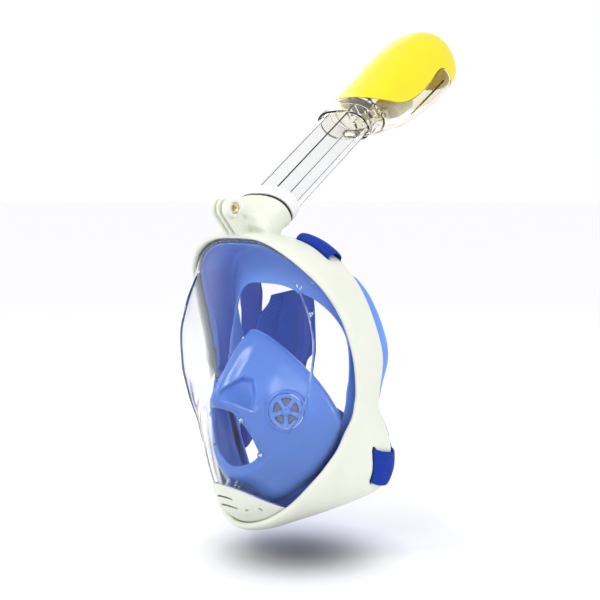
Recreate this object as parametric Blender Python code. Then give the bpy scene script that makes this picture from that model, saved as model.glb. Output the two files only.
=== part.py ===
"""Full face snorkel: mask, clear lens, soft face seal, nose pocket, head strap and pull-off snorkel.

Lengths below are in millimetres, and finish() turns each solid into metres. The mask faces -Y, +Z is up,
+X is the wearer's left. The origin is the centre of the plane that the face seal rests on.
"""

import math

import bmesh
import bpy
import numpy as np
from mathutils import Matrix, Vector

MM = 0.001
STATIONS = 72  # sections around the mask
SHARP_ANGLE = 30  # edges bent more than this many degrees stay sharp

# Mask loops, right half from top centre to bottom centre. Each row of the lists is one direction
# around the mask, so that the same row of every loop lies in one section.
LENS_EDGE = [
    (0, -79, 118.5), (25, -78.5, 117), (45, -75, 109), (61, -67, 96), (72, -56, 80), (79, -45, 58),
    (82, -37, 32), (82, -34, 8), (80.5, -33.5, -4), (79, -34, -14), (75, -37, -26), (71, -40, -38),
    (65, -45, -50), (58, -50, -61), (43, -60, -80), (28, -68, -92), (14, -73, -98), (0, -75, -100),
]
FRAME_BACK = [
    (0, -45, 116), (26, -43, 116.5), (49, -36.5, 111.5), (66, -29.5, 97), (77, -23, 79), (83, -15, 54),
    (84, -8, 30), (82, -9, 6), (82, -10, -8), (85.5, -6.5, -20), (89, -4, -34), (89, -3.5, -48),
    (87.5, -5, -61.5), (81, -11.5, -73), (58, -32, -86), (34, -49, -96), (17, -57, -102), (0, -60, -104),
]
LENS_CREASE = [
    (0, -81, 112), (20, -79.5, 110), (38, -76, 104), (51, -73, 93), (61, -72, 80), (70, -72, 62),
    (75, -73, 42), (72, -74, 14), (68, -74, 2), (63, -75, -8), (57, -76, -18), (50, -77, -28),
    (44, -79, -38), (37, -81, -48), (27, -85, -61), (17, -89, -71), (8, -92, -77), (0, -93, -79),
]
FACE_OPENING = [
    (0, -50, 84), (18, -48, 83), (32, -43, 78), (44, -36, 71), (54, -30, 61), (62, -26, 47),
    (66, -26, 32), (67, -27, 14), (66, -28, 4), (65, -28, -6), (62, -28, -18), (58, -29, -30),
    (52, -30, -42), (45, -32, -53), (34, -36, -66), (22, -41, -76), (11, -45, -82), (0, -46, -84),
]
# Distance that the face seal reaches behind the frame's rear edge, on the same rows.
SEAL_REACH = [3, 2, 2, 4, 8.5, 11, 10, 6, 3, 1.5, 1, 1, 1, 1.5, 3, 3, 4, 4]
LENS_PROFILE = [  # Y and Z of the lens on its middle plane, from the upper to the lower end of the crease
    (-81, 112), (-84, 90), (-87, 62), (-91, 42), (-102, 20), (-108.5, -2), (-109.5, -20),
    (-107, -40), (-101, -60), (-93, -79),
]
LENS_T = 2.2
LENS_CENTRE_Z = 20
LENS_FLANGE = 6  # depth of the lens flange held under the frame rim
STRAP_RECESS = 3  # depth by which the face seal is set back under the strap loops

# Nose pocket: loops from the soft rim on the face to the front opening, right half, top to bottom.
POCKET = [
    [(0, -60, 47), (13, -53, 40), (31, -46, 26), (50, -41, 9), (65, -37, -12),
     (62, -32, -30), (56, -33, -46), (44, -37, -62), (24, -44, -78), (0, -50, -86)],
    [(0, -64, 46), (14, -57, 39), (33, -50, 25), (54, -46, 8), (70, -43, -14),
     (66, -44, -31), (57, -50, -48), (44, -57, -64), (25, -64, -78), (0, -67, -83)],
    [(0, -80, 32), (9, -71, 28), (24, -62, 18), (41, -58, 5), (54, -57, -10),
     (54, -59, -28), (46, -65, -44), (34, -71, -57), (19, -75, -68), (0, -77, -72)],
    [(0, -96, 12), (7, -88, 9), (17, -78, 3), (28, -72, -4), (38, -70, -14),
     (41, -71, -28), (37, -74, -41), (28, -78, -52), (15, -81, -61), (0, -83, -65)],
    [(0, -102.5, 0), (8, -99, -2), (15, -94, -6), (20, -89, -13), (25, -84, -23),
     (28, -80, -34), (29, -78, -43), (24, -79, -51), (13, -82, -57), (0, -84, -60)],
    [(0, -99, -8), (6, -96.5, -9), (11, -93, -11), (15, -89.5, -17), (20, -85, -26),
     (23, -81, -36), (24, -79, -42), (20, -80, -48), (10, -82, -53), (0, -83, -55)],
]
POCKET_STATIONS = 48
POCKET_T = 1.8
VALVE_AT = (42, -68, -9)
VALVE_AXIS = (0.66, -0.74, 0.12)
VALVE_R = 13
STUDS_AT = [(17.5, -89.5, -14.5), (26.5, -80, -42)]

# Chin drain valve.
DRAIN_AT = (0, -82.5, -84)
DRAIN_AXIS = (0, -0.74, -0.67)

# Camera mount: centre of its hole in Y and Z, extents of its ears and of its captive nut in X.
MOUNT_Y, MOUNT_Z = -91.4, 142
FINS_X = [(-7.6, -4.6), (-1.5, 1.5), (4.6, 7.6)]
NUT_X = (8.4, 12)
PIN_R = 2.6  # hole through the ears and the nut

# Each strap slot: first and last row, distance from the frame's rear edge at each end, height of the
# strap's loop above the frame, and how much farther back the strap turns inwards.
UPPER_SLOT = (1.35, 2.75, 12, 12, 9, 1.8)
LOWER_SLOT = (10.4, 12.6, 16, 11, 6.5, 0)
SLOT_WIDTH = 3.6
STRAP_SPAN = (0.06, 0.5, 0.94)  # places across a strap, along the slot that holds it
STRAP_T = 1.3
ARM_T = 2.2
STRAP_PATHS = {  # slot, side, path of the strip behind the frame and its half widths
    "strap_arm_upper_left": (
        UPPER_SLOT, 1,
        [(40, -17, 96), (22, -4, 94), (5, 6, 92), (-12, 13, 89)],
        [(8, 5, -11), (5, 5, -12), (3, 3, -13), (2, 1, -14)]),
    "strap_arm_upper_right": (
        UPPER_SLOT, -1,
        [(-58, -10, 99), (-70, 6, 93), (-84, 16, 80), (-93, 21, 62), (-96, 24, 44), (-97, 25, 26)],
        [(-8, 4, -13), (-1, 4, -14), (7, 3, -12), (12, 2, -7), (13, 1, -2), (13, 0, 0)]),
    "strap_arm_lower_left": (
        LOWER_SLOT, 1,
        [(73, 10, -49), (54, 18, -48), (28, 22, -44), (4, 26, -38), (-18, 28, -30), (-36, 28, -20)],
        [(-3, 0, -11), (-5, 0, -12), (-6, 0, -13), (-7, 0, -13), (-8, 0, -12), (-8, 0, -11)]),
    "strap_arm_lower_right": (
        LOWER_SLOT, -1,
        [(-88, 17, -43), (-85, 29, -40), (-75, 36, -30), (-62, 38, -20)],
        [(3, 2, -15), (3, 0, -17), (5, 0, -17), (6, 0, -15)]),
}
PANEL = [  # X, Y, Z of the back pad's rows from top to bottom, as left edge, middle, right edge
    [(-67, 21, 66), (-50, 29, 71), (-15, 16, 78)],
    [(-71, 21, 58), (-48, 31, 61), (-11, 15, 64)],
    [(-83, 19, 44), (-48, 32, 43), (-10, 15, 43)],
    [(-88, 21, 26), (-48, 31, 24), (-12, 17, 24)],
    [(-76, 25, 12), (-48, 30, 10), (-26, 23, 12)],
    [(-66, 27, -6), (-50, 29, -8), (-36, 27, -7)],
]

# Snorkel: its own axes start at the centre of the socket mouth. S runs up the tube, N across its
# thin side (forward and up) and X across its wide side.
SOCKET = Vector((0, -50, 140))
TILT = math.radians(52.6)
S_AXIS = Vector((0, math.sin(TILT), math.cos(TILT)))
N_AXIS = Vector((0, -math.cos(TILT), math.sin(TILT)))
TUBE_RX, TUBE_RN, TUBE_T = 24.6, 13.2, 1.8
SPIGOT = 14  # length of tube that sits in the socket
TUBE_TOP = 124
OVAL = 2.4  # exponent of the rounded oval sections
DRY_TOP = [  # S, centre N, half width X, half width N
    (112, 0, 26.8, 15.4), (118, -0.5, 27, 16.2), (126, -1.8, 27.2, 17.8), (136, -4.2, 27.6, 19.8),
    (148, -7, 28.2, 23), (162, -9.8, 28.7, 26.4), (190, -12.5, 29, 30.8), (214, -14, 29, 31.2),
    (228, -15.5, 28, 29.8), (238, -17, 25.2, 26.8), (245, -18.5, 20.2, 21.8), (249.5, -19.5, 12.5, 13.8),
]
DRY_TOP_T = 2.2
CAP_LINE = [  # S and N of the joint between the clear housing and the cap
    (121, 30), (127, 19), (134, 11), (144, 1), (153, -7), (162, -12), (172, -15), (186, -16.5), (200, -15.5),
    (211, -14.3), (217, -15.5), (221, -20), (224, -30), (227, -42), (231, -60),
]
SEAT_S = 132  # mouth plate of the dry top
PIVOT = (146, -14)  # S and N of the float lever's pin
FLOAT_OPEN = 20  # degrees from rest to closed


def v(p):
    return Vector(p)


def mirror(p):
    return (-p[0], p[1], p[2])


def spline(points, count, closed=True):
    """Evenly indexed Catmull-Rom points, with the same number between each two control points."""
    pts = np.array(points, float)
    n = len(pts)
    spans = n if closed else n - 1
    out = []
    for k in range(count):
        t = k * spans / (count if closed else count - 1)
        i = min(int(t), spans - 1)
        f = t - i
        if closed:
            a, b, c, d = (pts[(i + j) % n] for j in (-1, 0, 1, 2))
        else:
            a, b, c, d = (pts[min(max(i + j, 0), n - 1)] for j in (-1, 0, 1, 2))
        out.append(0.5 * (2 * b + (c - a) * f + (2 * a - 5 * b + 4 * c - d) * f * f
                          + (3 * b - a - 3 * c + d) * f ** 3))
    return np.array(out)


def loop(half, count):
    """Closed loop from a right half that starts and ends on the middle plane."""
    return spline(list(half) + [mirror(p) for p in half[-2:0:-1]], count)


def reach(count):
    values = [(r, 0, 0) for r in SEAL_REACH]
    return spline(values + values[-2:0:-1], count)[:, 0]


def unit(a):
    return a / np.linalg.norm(a, axis=-1, keepdims=True)


def mask_axes():
    """Per section: lens edge point, direction along the frame wall, outward direction, wall length."""
    edge = loop(LENS_EDGE, STATIONS)
    back = loop(FRAME_BACK, STATIONS)
    tangent = unit(np.roll(edge, -1, 0) - np.roll(edge, 1, 0))
    wall = back - edge
    along = unit(wall)
    out = unit(np.cross(along, tangent))
    out *= np.sign((out * (edge - np.array([0, -60, 10]))).sum(1))[:, None]
    length = np.linalg.norm(wall, axis=1)
    return edge, along, out, length


EDGE, ALONG, OUT, LENGTH = mask_axes()


def at(i, w, n):
    return EDGE[i] + ALONG[i] * w + OUT[i] * n


def finish(obj, colour, roughness=0.5, alpha=1.0, origin=(0, 0, 0)):
    """Gives a finished solid its origin, material and shading, and turns its millimetres into metres."""
    obj.data.transform(Matrix.Scale(MM, 4) @ Matrix.Translation(-v(origin)))
    obj.location = v(origin) * MM
    obj.data.polygons.foreach_set("use_smooth", [True] * len(obj.data.polygons))
    obj.data.set_sharp_from_angle(angle=math.radians(SHARP_ANGLE))
    material = bpy.data.materials.new(obj.name)
    material.use_nodes = True
    shader = material.node_tree.nodes["Principled BSDF"]
    shader.inputs["Base Color"].default_value = (*colour, 1)
    shader.inputs["Roughness"].default_value = roughness
    shader.inputs["Alpha"].default_value = alpha
    material.diffuse_color = (*colour, alpha)
    obj.data.materials.clear()
    obj.data.materials.append(material)
    return obj


def solid(name, points, faces):
    """Object from points in millimetres, with its faces turned outwards."""
    mesh = bpy.data.meshes.new(name)
    mesh.from_pydata([tuple(float(c) for c in p) for p in points], [], [tuple(f) for f in faces])
    work = bmesh.new()
    work.from_mesh(mesh)
    bmesh.ops.recalc_face_normals(work, faces=work.faces)
    if work.calc_volume(signed=True) < 0:
        bmesh.ops.reverse_faces(work, faces=work.faces)
    bmesh.ops.triangulate(work, faces=work.faces)
    work.to_mesh(mesh)
    work.free()
    obj = bpy.data.objects.new(name, mesh)
    bpy.context.scene.collection.objects.link(obj)
    return obj


def strip_faces(rows, columns, closed_rows, closed_columns):
    faces = []
    for r in range(rows if closed_rows else rows - 1):
        for c in range(columns if closed_columns else columns - 1):
            r1, c1 = (r + 1) % rows, (c + 1) % columns
            faces.append((r * columns + c, r * columns + c1, r1 * columns + c1, r1 * columns + c))
    return faces


def ring(name, sections):
    """Closed ring swept through sections, each a closed polygon of the same size."""
    rows, columns = len(sections), len(sections[0])
    return solid(name, [p for s in sections for p in s], strip_faces(rows, columns, True, True))


def loft(name, sections):
    """Solid through closed sections, with flat ends."""
    rows, columns = len(sections), len(sections[0])
    faces = strip_faces(rows, columns, False, True)
    faces.append(tuple(range(columns)))
    faces.append(tuple((rows - 1) * columns + c for c in range(columns)))
    return solid(name, [p for s in sections for p in s], faces)


def ring_of_rows(name, rows):
    """Shell whose rows are closed loops, joined one after another and back to the first."""
    return solid(name, [p for r in rows for p in r], strip_faces(len(rows), len(rows[0]), True, True))


def boolean(target, cutter, operation):
    modifier = target.modifiers.new("cut", "BOOLEAN")
    modifier.operation = operation
    modifier.solver = "EXACT"
    modifier.object = cutter
    bpy.context.view_layer.update()
    result = target.evaluated_get(bpy.context.evaluated_depsgraph_get())
    mesh = bpy.data.meshes.new_from_object(result)
    target.modifiers.clear()
    target.data = mesh
    bpy.data.objects.remove(cutter)
    return target


def cut(target, *cutters):
    for cutter in cutters:
        boolean(target, cutter, "DIFFERENCE")
    return target


def add(target, *others):
    for other in others:
        boolean(target, other, "UNION")
    return target


def keep(target, cutter):
    return boolean(target, cutter, "INTERSECT")


def basis(axis):
    axis = v(axis).normalized()
    side = v((0, 0, 1)).cross(axis)
    if side.length < 1e-6:
        side = v((1, 0, 0))
    side.normalize()
    return side, axis.cross(side), axis


def circles(centre, axis, profile, count, start):
    """Circles about an axis, one for each radius and height of the profile."""
    side, top, axis = basis(axis)
    rows = []
    for radius, height in profile:
        angles = [start + 2 * math.pi * k / count for k in range(count)]
        rows.append([v(centre) + axis * height + side * radius * math.cos(a) + top * radius * math.sin(a)
                     for a in angles])
    return rows


def turning(name, centre, axis, profile, count=32, start=0.0):
    """Solid of revolution with flat ends."""
    return loft(name, circles(centre, axis, profile, count, start))


def disc(name, centre, axis, radius, low, high, count=32, start=0.0):
    return turning(name, centre, axis, ((radius, low), (radius, high)), count, start)


def washer(name, centre, axis, outer, inner, low, high, count=32, start=0.0):
    profile = ((outer, low), (outer, high), (inner, high), (inner, low))
    return ring_of_rows(name, circles(centre, axis, profile, count, start))


def wedge(name, centre, axis, inner, outer, middle, half, low, high):
    """Opening between two radii, centred on an angle, with a half width in radians."""
    side, top, axis = basis(axis)
    fan = [(inner, -0.55), (inner, 0.55)] + [(outer, a) for a in (1, 0.5, 0, -0.5, -1)]
    corners = []
    for r, a in fan:
        angle = middle + a * half
        corners.append((r * math.cos(angle), r * math.sin(angle)))
    rows = [[v(centre) + axis * h + side * x + top * y for x, y in corners] for h in (low, high)]
    return loft(name, rows)


def prism(name, outline, low, high):
    """Prism along Y from an outline of X and Z."""
    return loft(name, [[(x, y, z) for x, z in outline] for y in (low, high)])


def snorkel_point(x, n, s):
    return SOCKET + S_AXIS * s + N_AXIS * n + Vector((x, 0, 0))


def oval(s, centre, rx, rn, count=36, power=OVAL):
    points = []
    for k in range(count):
        a = 2 * math.pi * k / count
        c, d = math.cos(a), math.sin(a)
        x = rx * math.copysign(abs(c) ** (2 / power), c)
        n = centre + rn * math.copysign(abs(d) ** (2 / power), d)
        points.append(snorkel_point(x, n, s))
    return points


def side_prism(name, outline, half):
    """Prism across the snorkel from an outline of S and N."""
    return loft(name, [[snorkel_point(x, n, s) for s, n in outline] for x in (-half, half)])


# ---------------------------------------------------------------- mask


def station(row):
    """Section number of a row of the control lists, which may be fractional."""
    return row * STATIONS / (2 * (len(LENS_EDGE) - 1))


def between(u, w, n):
    """Point in a fractional section, at w along the wall from the lens edge and n outwards."""
    i = int(math.floor(u)) % STATIONS
    j = (i + 1) % STATIONS
    f = u - math.floor(u)
    return v(at(i, w, n)) * (1 - f) + v(at(j, w, n)) * f


def wall_height(fraction):
    """Height of the frame's outer face above the lens-edge line, by fraction of the wall."""
    return float(np.interp(fraction, [0, 0.08, 0.35, 0.7, 0.95, 1], [4.8, 6, 5.8, 4.4, 2.6, 1.2]))


def frame_section(i):
    length = LENGTH[i]
    outer = [(-3, 1.2), (-3.6, 2.8), (-2.4, 4.8)]
    outer += [(length * f, wall_height(f)) for f in (0.08, 0.35, 0.7, 0.95, 1)]
    inner = [(length, -0.8), (length * 0.6, 0.3), (7, 0.3), (-1.6, 0.3)]
    return [at(i, w, n) for w, n in outer + inner]


def mount_fin(x_low, x_high):
    """One ear of the camera mount: a rounded plate that stands on the frame's brow."""
    outline = [(-84.5, 121.5), (-98.4, 138.2)]
    for k in range(9):
        a = math.radians(205 - 25 * k)
        outline.append((MOUNT_Y + 7.4 * math.cos(a), MOUNT_Z + 7.4 * math.sin(a)))
    outline += [(-76, 132), (-64, 129), (-62, 122)]
    return loft("fin", [[(x, y, z) for y, z in outline] for x in (x_low, x_high)])


def edge_point(slot, side, f, w, n):
    """Point near a strap slot: f runs along it, w back from the frame's rear edge, n outwards."""
    u = station(slot[0] + (slot[1] - slot[0]) * f)
    if side < 0:
        u = STATIONS - u
    length = float(np.interp(u, range(STATIONS + 1), list(LENGTH) + [LENGTH[0]]))
    return between(u, length + w, n)


def slot_depth(slot, f):
    return slot[2] + (slot[3] - slot[2]) * f


def strap_slot(slot, side):
    """Cutter for the slot that a strap is threaded through."""
    rows = []
    for f in (0, *STRAP_SPAN, 1):
        low, high = -slot_depth(slot, f) - SLOT_WIDTH / 2, -slot_depth(slot, f) + SLOT_WIDTH / 2
        corners = ((low, -8), (high, -8), (high, 14), (low, 14))
        rows.append([edge_point(slot, side, f, w, n) for w, n in corners])
    return loft("slot", rows)


def beside_slot(i):
    """1 for a section that crosses a strap slot, falling to 0 on either side."""
    row = min(i, STATIONS - i) / station(1)
    inside = [min(row - slot[0], slot[1] - row) for slot in (UPPER_SLOT, LOWER_SLOT)]
    return min(max((max(inside) + 0.65) / 0.4, 0), 1)


def build_frame():
    frame = ring("frame", [frame_section(i) for i in range(STATIONS)])
    neck_rows = [(-0.6, 0, 27.6, 15.8), (-3, 0, 27.6, 15.8), (-9, 0, 26.4, 15.4), (-15, -1, 26.2, 16),
                 (-22, -2, 27, 14.5), (-27, -3, 26, 11)]
    neck = cut(loft("neck", [oval(*row) for row in neck_rows]), under_wall())
    add(frame, neck)
    for low, high in FINS_X:
        add(frame, mount_fin(low, high))
    add(frame, disc("boss", (0, MOUNT_Y, MOUNT_Z), (1, 0, 0), 6.6, 7.2, NUT_X[1], 24))
    for slot in (UPPER_SLOT, LOWER_SLOT):
        cut(frame, strap_slot(slot, 1), strap_slot(slot, -1))
    bore = loft("bore", [oval(s, 0, TUBE_RX + 0.35, TUBE_RN + 0.35) for s in (1, -SPIGOT - 0.6)])
    cut(frame, bore, passage(0))
    cut(frame, disc("pin_hole", (0, MOUNT_Y, MOUNT_Z), (1, 0, 0), PIN_R, -20, 20, 48))
    cut(frame, disc("nut_recess", (0, MOUNT_Y, MOUNT_Z), (1, 0, 0), 4.8, NUT_X[0] - 0.3, 20, 6))
    return finish(frame, (0.86, 0.87, 0.82), 0.35)


def passage(extra):
    """Air passage from the bottom of the socket into the eye chamber."""
    half_x, front, rear = 17.4 + extra, -70 - extra, -56.6 + extra
    outline = [(front, 106), (rear, 106), (rear, 127), (-67.2, 140.6), (front, 137)]
    return loft("passage", [[(x, y, z) for y, z in outline] for x in (-half_x, half_x)])


def under_wall():
    """Block below the brow of the frame, to trim the foot of the socket."""
    sections = []
    for k in range(-6, 7):
        i = k % STATIONS
        corners = ((-7, 1.6), (LENGTH[i] + 15, 1.2), (LENGTH[i] + 15, -26), (-7, -26))
        sections.append([at(i, w, n) for w, n in corners])
    return loft("under", sections)


def lens_rows():
    """Loops of the lens's outer face, from the flange's end to the centre of the front."""
    crease = loop(LENS_CREASE, STATIONS)
    rows = [np.array([at(i, LENS_FLANGE, 0) for i in range(STATIONS)]), EDGE.copy()]
    for f in (0.3, 0.65):
        rows.append(EDGE * (1 - f) + crease * f + OUT * 2.2 * math.sin(math.pi * f))
    rows.append(crease)
    base = smooth_profile(crease[:, 2])
    for r in (0.94, 0.8, 0.6, 0.4, 0.2):
        row = crease.copy()
        row[:, 0] = crease[:, 0] * r
        row[:, 2] = LENS_CENTRE_Z + (crease[:, 2] - LENS_CENTRE_Z) * r
        row[:, 1] = smooth_profile(row[:, 2]) + (crease[:, 1] - base) * (1 - (1 - r * r) ** 1.4)
        rows.append(row)
    centre = np.array([0, smooth_profile(np.array([LENS_CENTRE_Z]))[0], LENS_CENTRE_Z])
    return rows, centre


def smooth_profile(z):
    curve = spline([(y, zz, 0) for y, zz in LENS_PROFILE], 120, False)
    order = np.argsort(curve[:, 1])
    return np.interp(z, curve[order, 1], curve[order, 0])


def grid_normals(rows, centre):
    """Outward unit normal at each point of the rows, and at the centre."""
    grid = np.array(rows)
    around = np.roll(grid, -1, 1) - np.roll(grid, 1, 1)
    inward = np.empty_like(grid)
    inward[1:-1] = unit(grid[2:] - grid[1:-1]) + unit(grid[1:-1] - grid[:-2])
    inward[0] = grid[1] - grid[0]
    inward[-1] = centre - grid[-2]
    normals = unit(np.cross(around, inward))
    if (normals[5] @ np.array([0, -1, 0])).mean() < 0:
        normals = -normals
    return normals


def shell(name, outside, inside):
    """Closed skin between an outer and an inner grid, each a list of rows and a centre point."""
    rows_out, centre_out = outside
    rows_in, centre_in = inside
    count, columns = len(rows_out), len(rows_out[0])
    points = [p for r in rows_out for p in r] + [centre_out]
    start = len(points)
    points += [p for r in rows_in for p in r] + [centre_in]
    faces = strip_faces(count, columns, False, True)
    faces += [(start + a, start + d, start + c, start + b) for a, b, c, d in faces]
    last = (count - 1) * columns
    for c in range(columns):
        d = (c + 1) % columns
        faces.append((last + c, last + d, start - 1))
        faces.append((start + last + d, start + last + c, len(points) - 1))
        faces.append((c, start + c, start + d, d))
    return solid(name, points, faces)


def lens_like(name, outward, inward):
    rows, centre = lens_rows()
    normals = grid_normals(rows, centre)
    front = np.array([0, -1, 0])
    out_rows = [r.copy() for r in rows]
    for k in range(2, len(rows)):
        out_rows[k] = rows[k] + normals[k] * outward * min(1, (k - 1) / 2)
    in_rows = [r - n * inward for r, n in zip(rows, normals)]
    in_rows[0] = np.array([at(i, LENS_FLANGE, -LENS_T) for i in range(STATIONS)])
    return shell(name, (out_rows, centre + front * outward), (in_rows, centre - front * inward))


def chin_outline(offset):
    """Outline in X and Z of the notch at the lens's chin; offset moves it outwards."""
    arch = []
    for k in range(13):
        x = -40 + 80 * k / 12
        arch.append((x * (1 + offset / 40), -66 + offset - 21 * (abs(x) / 40) ** 1.6))
    return arch + [(44 + offset, -130), (-44 - offset, -130)]


def build_lens():
    lens = lens_like("lens", 0, LENS_T)
    cut(lens, prism("notch", chin_outline(0), -140, -20))
    return finish(lens, (0.85, 0.9, 0.93), 0.05, 0.25)


def slot_cutter(z, half, rise):
    """Curved slot through the chin cover."""
    upper = [(half * f, z + 0.8 - rise * f * f) for f in (-1, -0.45, 0.04, 0.52, 1)]
    lower = [(half * f, z - 0.8 - rise * f * f) for f in (1, 0.52, 0.04, -0.45, -1)]
    return prism("slot", upper + lower, -130, -80)


def build_chin_cover():
    cover = lens_like("chin_cover", 1.4, LENS_T)
    keep(cover, prism("notch", chin_outline(-0.4), -140, -20))
    cut(cover, slot_cutter(-77, 9, 1.5), slot_cutter(-84.5, 10, 2))
    for side in (-1, 1):
        cut(cover, disc("vent", (side * 15.3, -84, -87), (side * 0.2, -0.8, -0.6), 1.3, -12, 12, 12, 0.1))
        cut(cover, wedge("crescent", (side * 22.3, -79, -87), (side * 0.2, -0.8, -0.6), 1.6, 3.2,
                         math.pi / 2 - side * 1.25, 1.1, -12, 12))
    return finish(cover, (0.86, 0.87, 0.82), 0.35)


def build_face_seal():
    opening = loop(FACE_OPENING, STATIONS)
    reaches = reach(STATIONS)
    sections = []
    for i in range(STATIONS):
        length, beyond, drop = LENGTH[i], reaches[i], STRAP_RECESS * beside_slot(i)
        outer = [(3.4, -2.7), (LENS_FLANGE + 0.4, -2.7), (LENS_FLANGE + 0.4, -0.1),
                 (length * 0.6, -0.5 - drop), (length - 1, -1.6 - drop), (length + 0.5, -1.5 - drop),
                 (length + beyond * 0.6 + 0.4, -0.8 - drop)]
        points = [at(i, w, n) for w, n in outer]
        heel = at(i, length + beyond, -2.4 - drop)
        lip = opening[i]
        across = lip - heel
        around = np.cross(ALONG[i], OUT[i])
        face = unit(np.cross(around, across))
        face *= 1 if face @ ALONG[i] > 0 else -1
        points += [heel, heel + across * 0.3 + face * 1.6, heel + across * 0.65 + face * 1.2, lip]
        points += [lip - face * 1.4, heel + across * 0.65 - face * 0.6, heel + across * 0.3 - face * 0.2]
        inner = [(length + beyond * 0.5 - 1.2, -3.5 - drop), (length * 0.6, -2.1 - drop),
                 (LENS_FLANGE + 2.2, -1.9),
                 (LENS_FLANGE + 1.4, -4.5), (3.4, -4.5)]
        points += [at(i, w, n) for w, n in inner]
        sections.append(points)
    seal = ring("face_seal", sections)
    cut(seal, passage(0.8))
    return finish(seal, (0.13, 0.24, 0.62), 0.4)


# ---------------------------------------------------------------- nose pocket


def pocket_normals(grid):
    around = np.roll(grid, -1, 1) - np.roll(grid, 1, 1)
    across = np.gradient(grid, axis=0)
    normals = unit(np.cross(around, across))
    return -normals if normals[2, :, 1].mean() > 0 else normals


def build_pocket():
    loops = [loop(half, POCKET_STATIONS) for half in POCKET]
    grid = []
    count = 11
    for k in range(count):
        t = k * (len(loops) - 1) / (count - 1)
        grid.append([spline_at(loops, t, j) for j in range(POCKET_STATIONS)])
    grid = np.array(grid)
    normals = pocket_normals(grid)
    half = POCKET_T / 2
    rows = [r + n * half for r, n in zip(grid, normals)]
    rows += [r - n * half for r, n in zip(grid[::-1], normals[::-1])]
    pocket = ring_of_rows("nose_pocket", rows)
    STUDS.extend(stud_places(grid, normals))
    for side in (1, -1):
        centre = (side * VALVE_AT[0], VALVE_AT[1], VALVE_AT[2])
        axis = (side * VALVE_AXIS[0], VALVE_AXIS[1], VALVE_AXIS[2])
        cut(pocket, disc("port", centre, axis, VALVE_R + 1.5, -8, 9, 36, 0.04))
        add(pocket, washer("rim", centre, axis, VALVE_R + 3, VALVE_R + 0.2, -2.6, 2.2, 30, 0.06))
    for _, centre, axis in STUDS:
        cut(pocket, disc("stud_hole", centre, axis, 1.35, -5, 6, 12, 0.13))
    return finish(pocket, (0.16, 0.28, 0.68), 0.4)


def spline_at(loops, t, j):
    i = min(int(t), len(loops) - 2)
    f = t - i
    a, b, c, d = (loops[min(max(i + k, 0), len(loops) - 1)][j] for k in (-1, 0, 1, 2))
    square, cube = 2 * a - 5 * b + 4 * c - d, 3 * b - a - 3 * c + d
    return 0.5 * (2 * b + (c - a) * f + square * f * f + cube * f ** 3)


STUDS = []  # name, centre and axis of each stud, filled in when the pocket is made


def stud_places(grid, normals):
    """Centre and outward axis of each stud, on the point of the skin nearest to its wanted place."""
    places = []
    for label, spot in zip(("upper", "lower"), STUDS_AT):
        k = np.linalg.norm(grid - np.array(spot), axis=2).argmin()
        row, column = divmod(int(k), grid.shape[1])
        centre, axis = v(grid[row, column]), v(normals[row, column])
        places.append((f"pocket_stud_{label}_left", centre, axis))
        places.append((f"pocket_stud_{label}_right", v(mirror(centre)), v(mirror(axis))))
    return places


def build_studs():
    """Buttons that pin the front edge of the pocket: a head, a neck through the skin and a barb."""
    profile = ((1.7, -3.2), (1.7, -2.2), (1, -2.2), (1, 1.9), (2, 1.9), (2, 2.5), (1.5, 2.9))
    for name, centre, axis in STUDS:
        finish(turning(name, centre, axis, profile, 12), (0.75, 0.8, 0.88), 0.2)


def build_pocket_valves():
    for word, side in (("left", 1), ("right", -1)):
        centre = (side * VALVE_AT[0], VALVE_AT[1], VALVE_AT[2])
        axis = (side * VALVE_AXIS[0], VALVE_AXIS[1], VALVE_AXIS[2])
        seat = disc(f"pocket_valve_seat_{word}", centre, axis, VALVE_R - 0.1, -0.9, 0.9, 40)
        for k in range(5):
            middle = math.pi / 2 + 2 * math.pi * k / 5
            cut(seat, wedge("window", centre, axis, 3.6, 10, middle, 0.46, -3, 3))
        add(seat, turning("hub", centre, axis, ((3.1, -5.6), (3.1, -4.4), (2.4, -4.4), (2.4, 1.9)), 16))
        finish(seat, (0.6, 0.7, 0.88), 0.2, 0.8)
        flap = washer(f"pocket_valve_flap_{word}", centre, axis, 11.4, 2.6, -2.2, -1.2)
        finish(flap, (0.35, 0.4, 0.5), 0.5, origin=centre)


# ---------------------------------------------------------------- chin drain valve

def build_drain():
    seat = washer("chin_valve_seat", DRAIN_AT, DRAIN_AXIS, 11.8, 10.4, -6, -1)
    plate = disc("plate", DRAIN_AT, DRAIN_AXIS, 11.1, -5.4, -3.6)
    for k in range(4):
        cut(plate, wedge("window", DRAIN_AT, DRAIN_AXIS, 2.6, 8.6, math.pi * (0.25 + 0.5 * k), 0.6, -9, 3))
    add(seat, plate)
    add(seat, turning("post", DRAIN_AT, DRAIN_AXIS, ((1.4, -4.6), (1.4, 0), (2.1, 0), (2.1, 1)), 12))
    finish(seat, (0.62, 0.72, 0.9), 0.2, 0.8)
    flap = washer("chin_valve_flap", DRAIN_AT, DRAIN_AXIS, 9.8, 1.7, -3.3, -2.5)
    finish(flap, (0.7, 0.72, 0.74), 0.5, origin=DRAIN_AT)


# ---------------------------------------------------------------- camera mount and strap


def build_nut():
    centre = (0, MOUNT_Y, MOUNT_Z)
    nut = disc("camera_mount_nut", centre, (1, 0, 0), 4.5, NUT_X[0], NUT_X[1] - 0.2, 6)
    cut(nut, disc("thread", centre, (1, 0, 0), PIN_R, -20, 20, 48))
    finish(nut, (0.72, 0.66, 0.45), 0.35)


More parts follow.
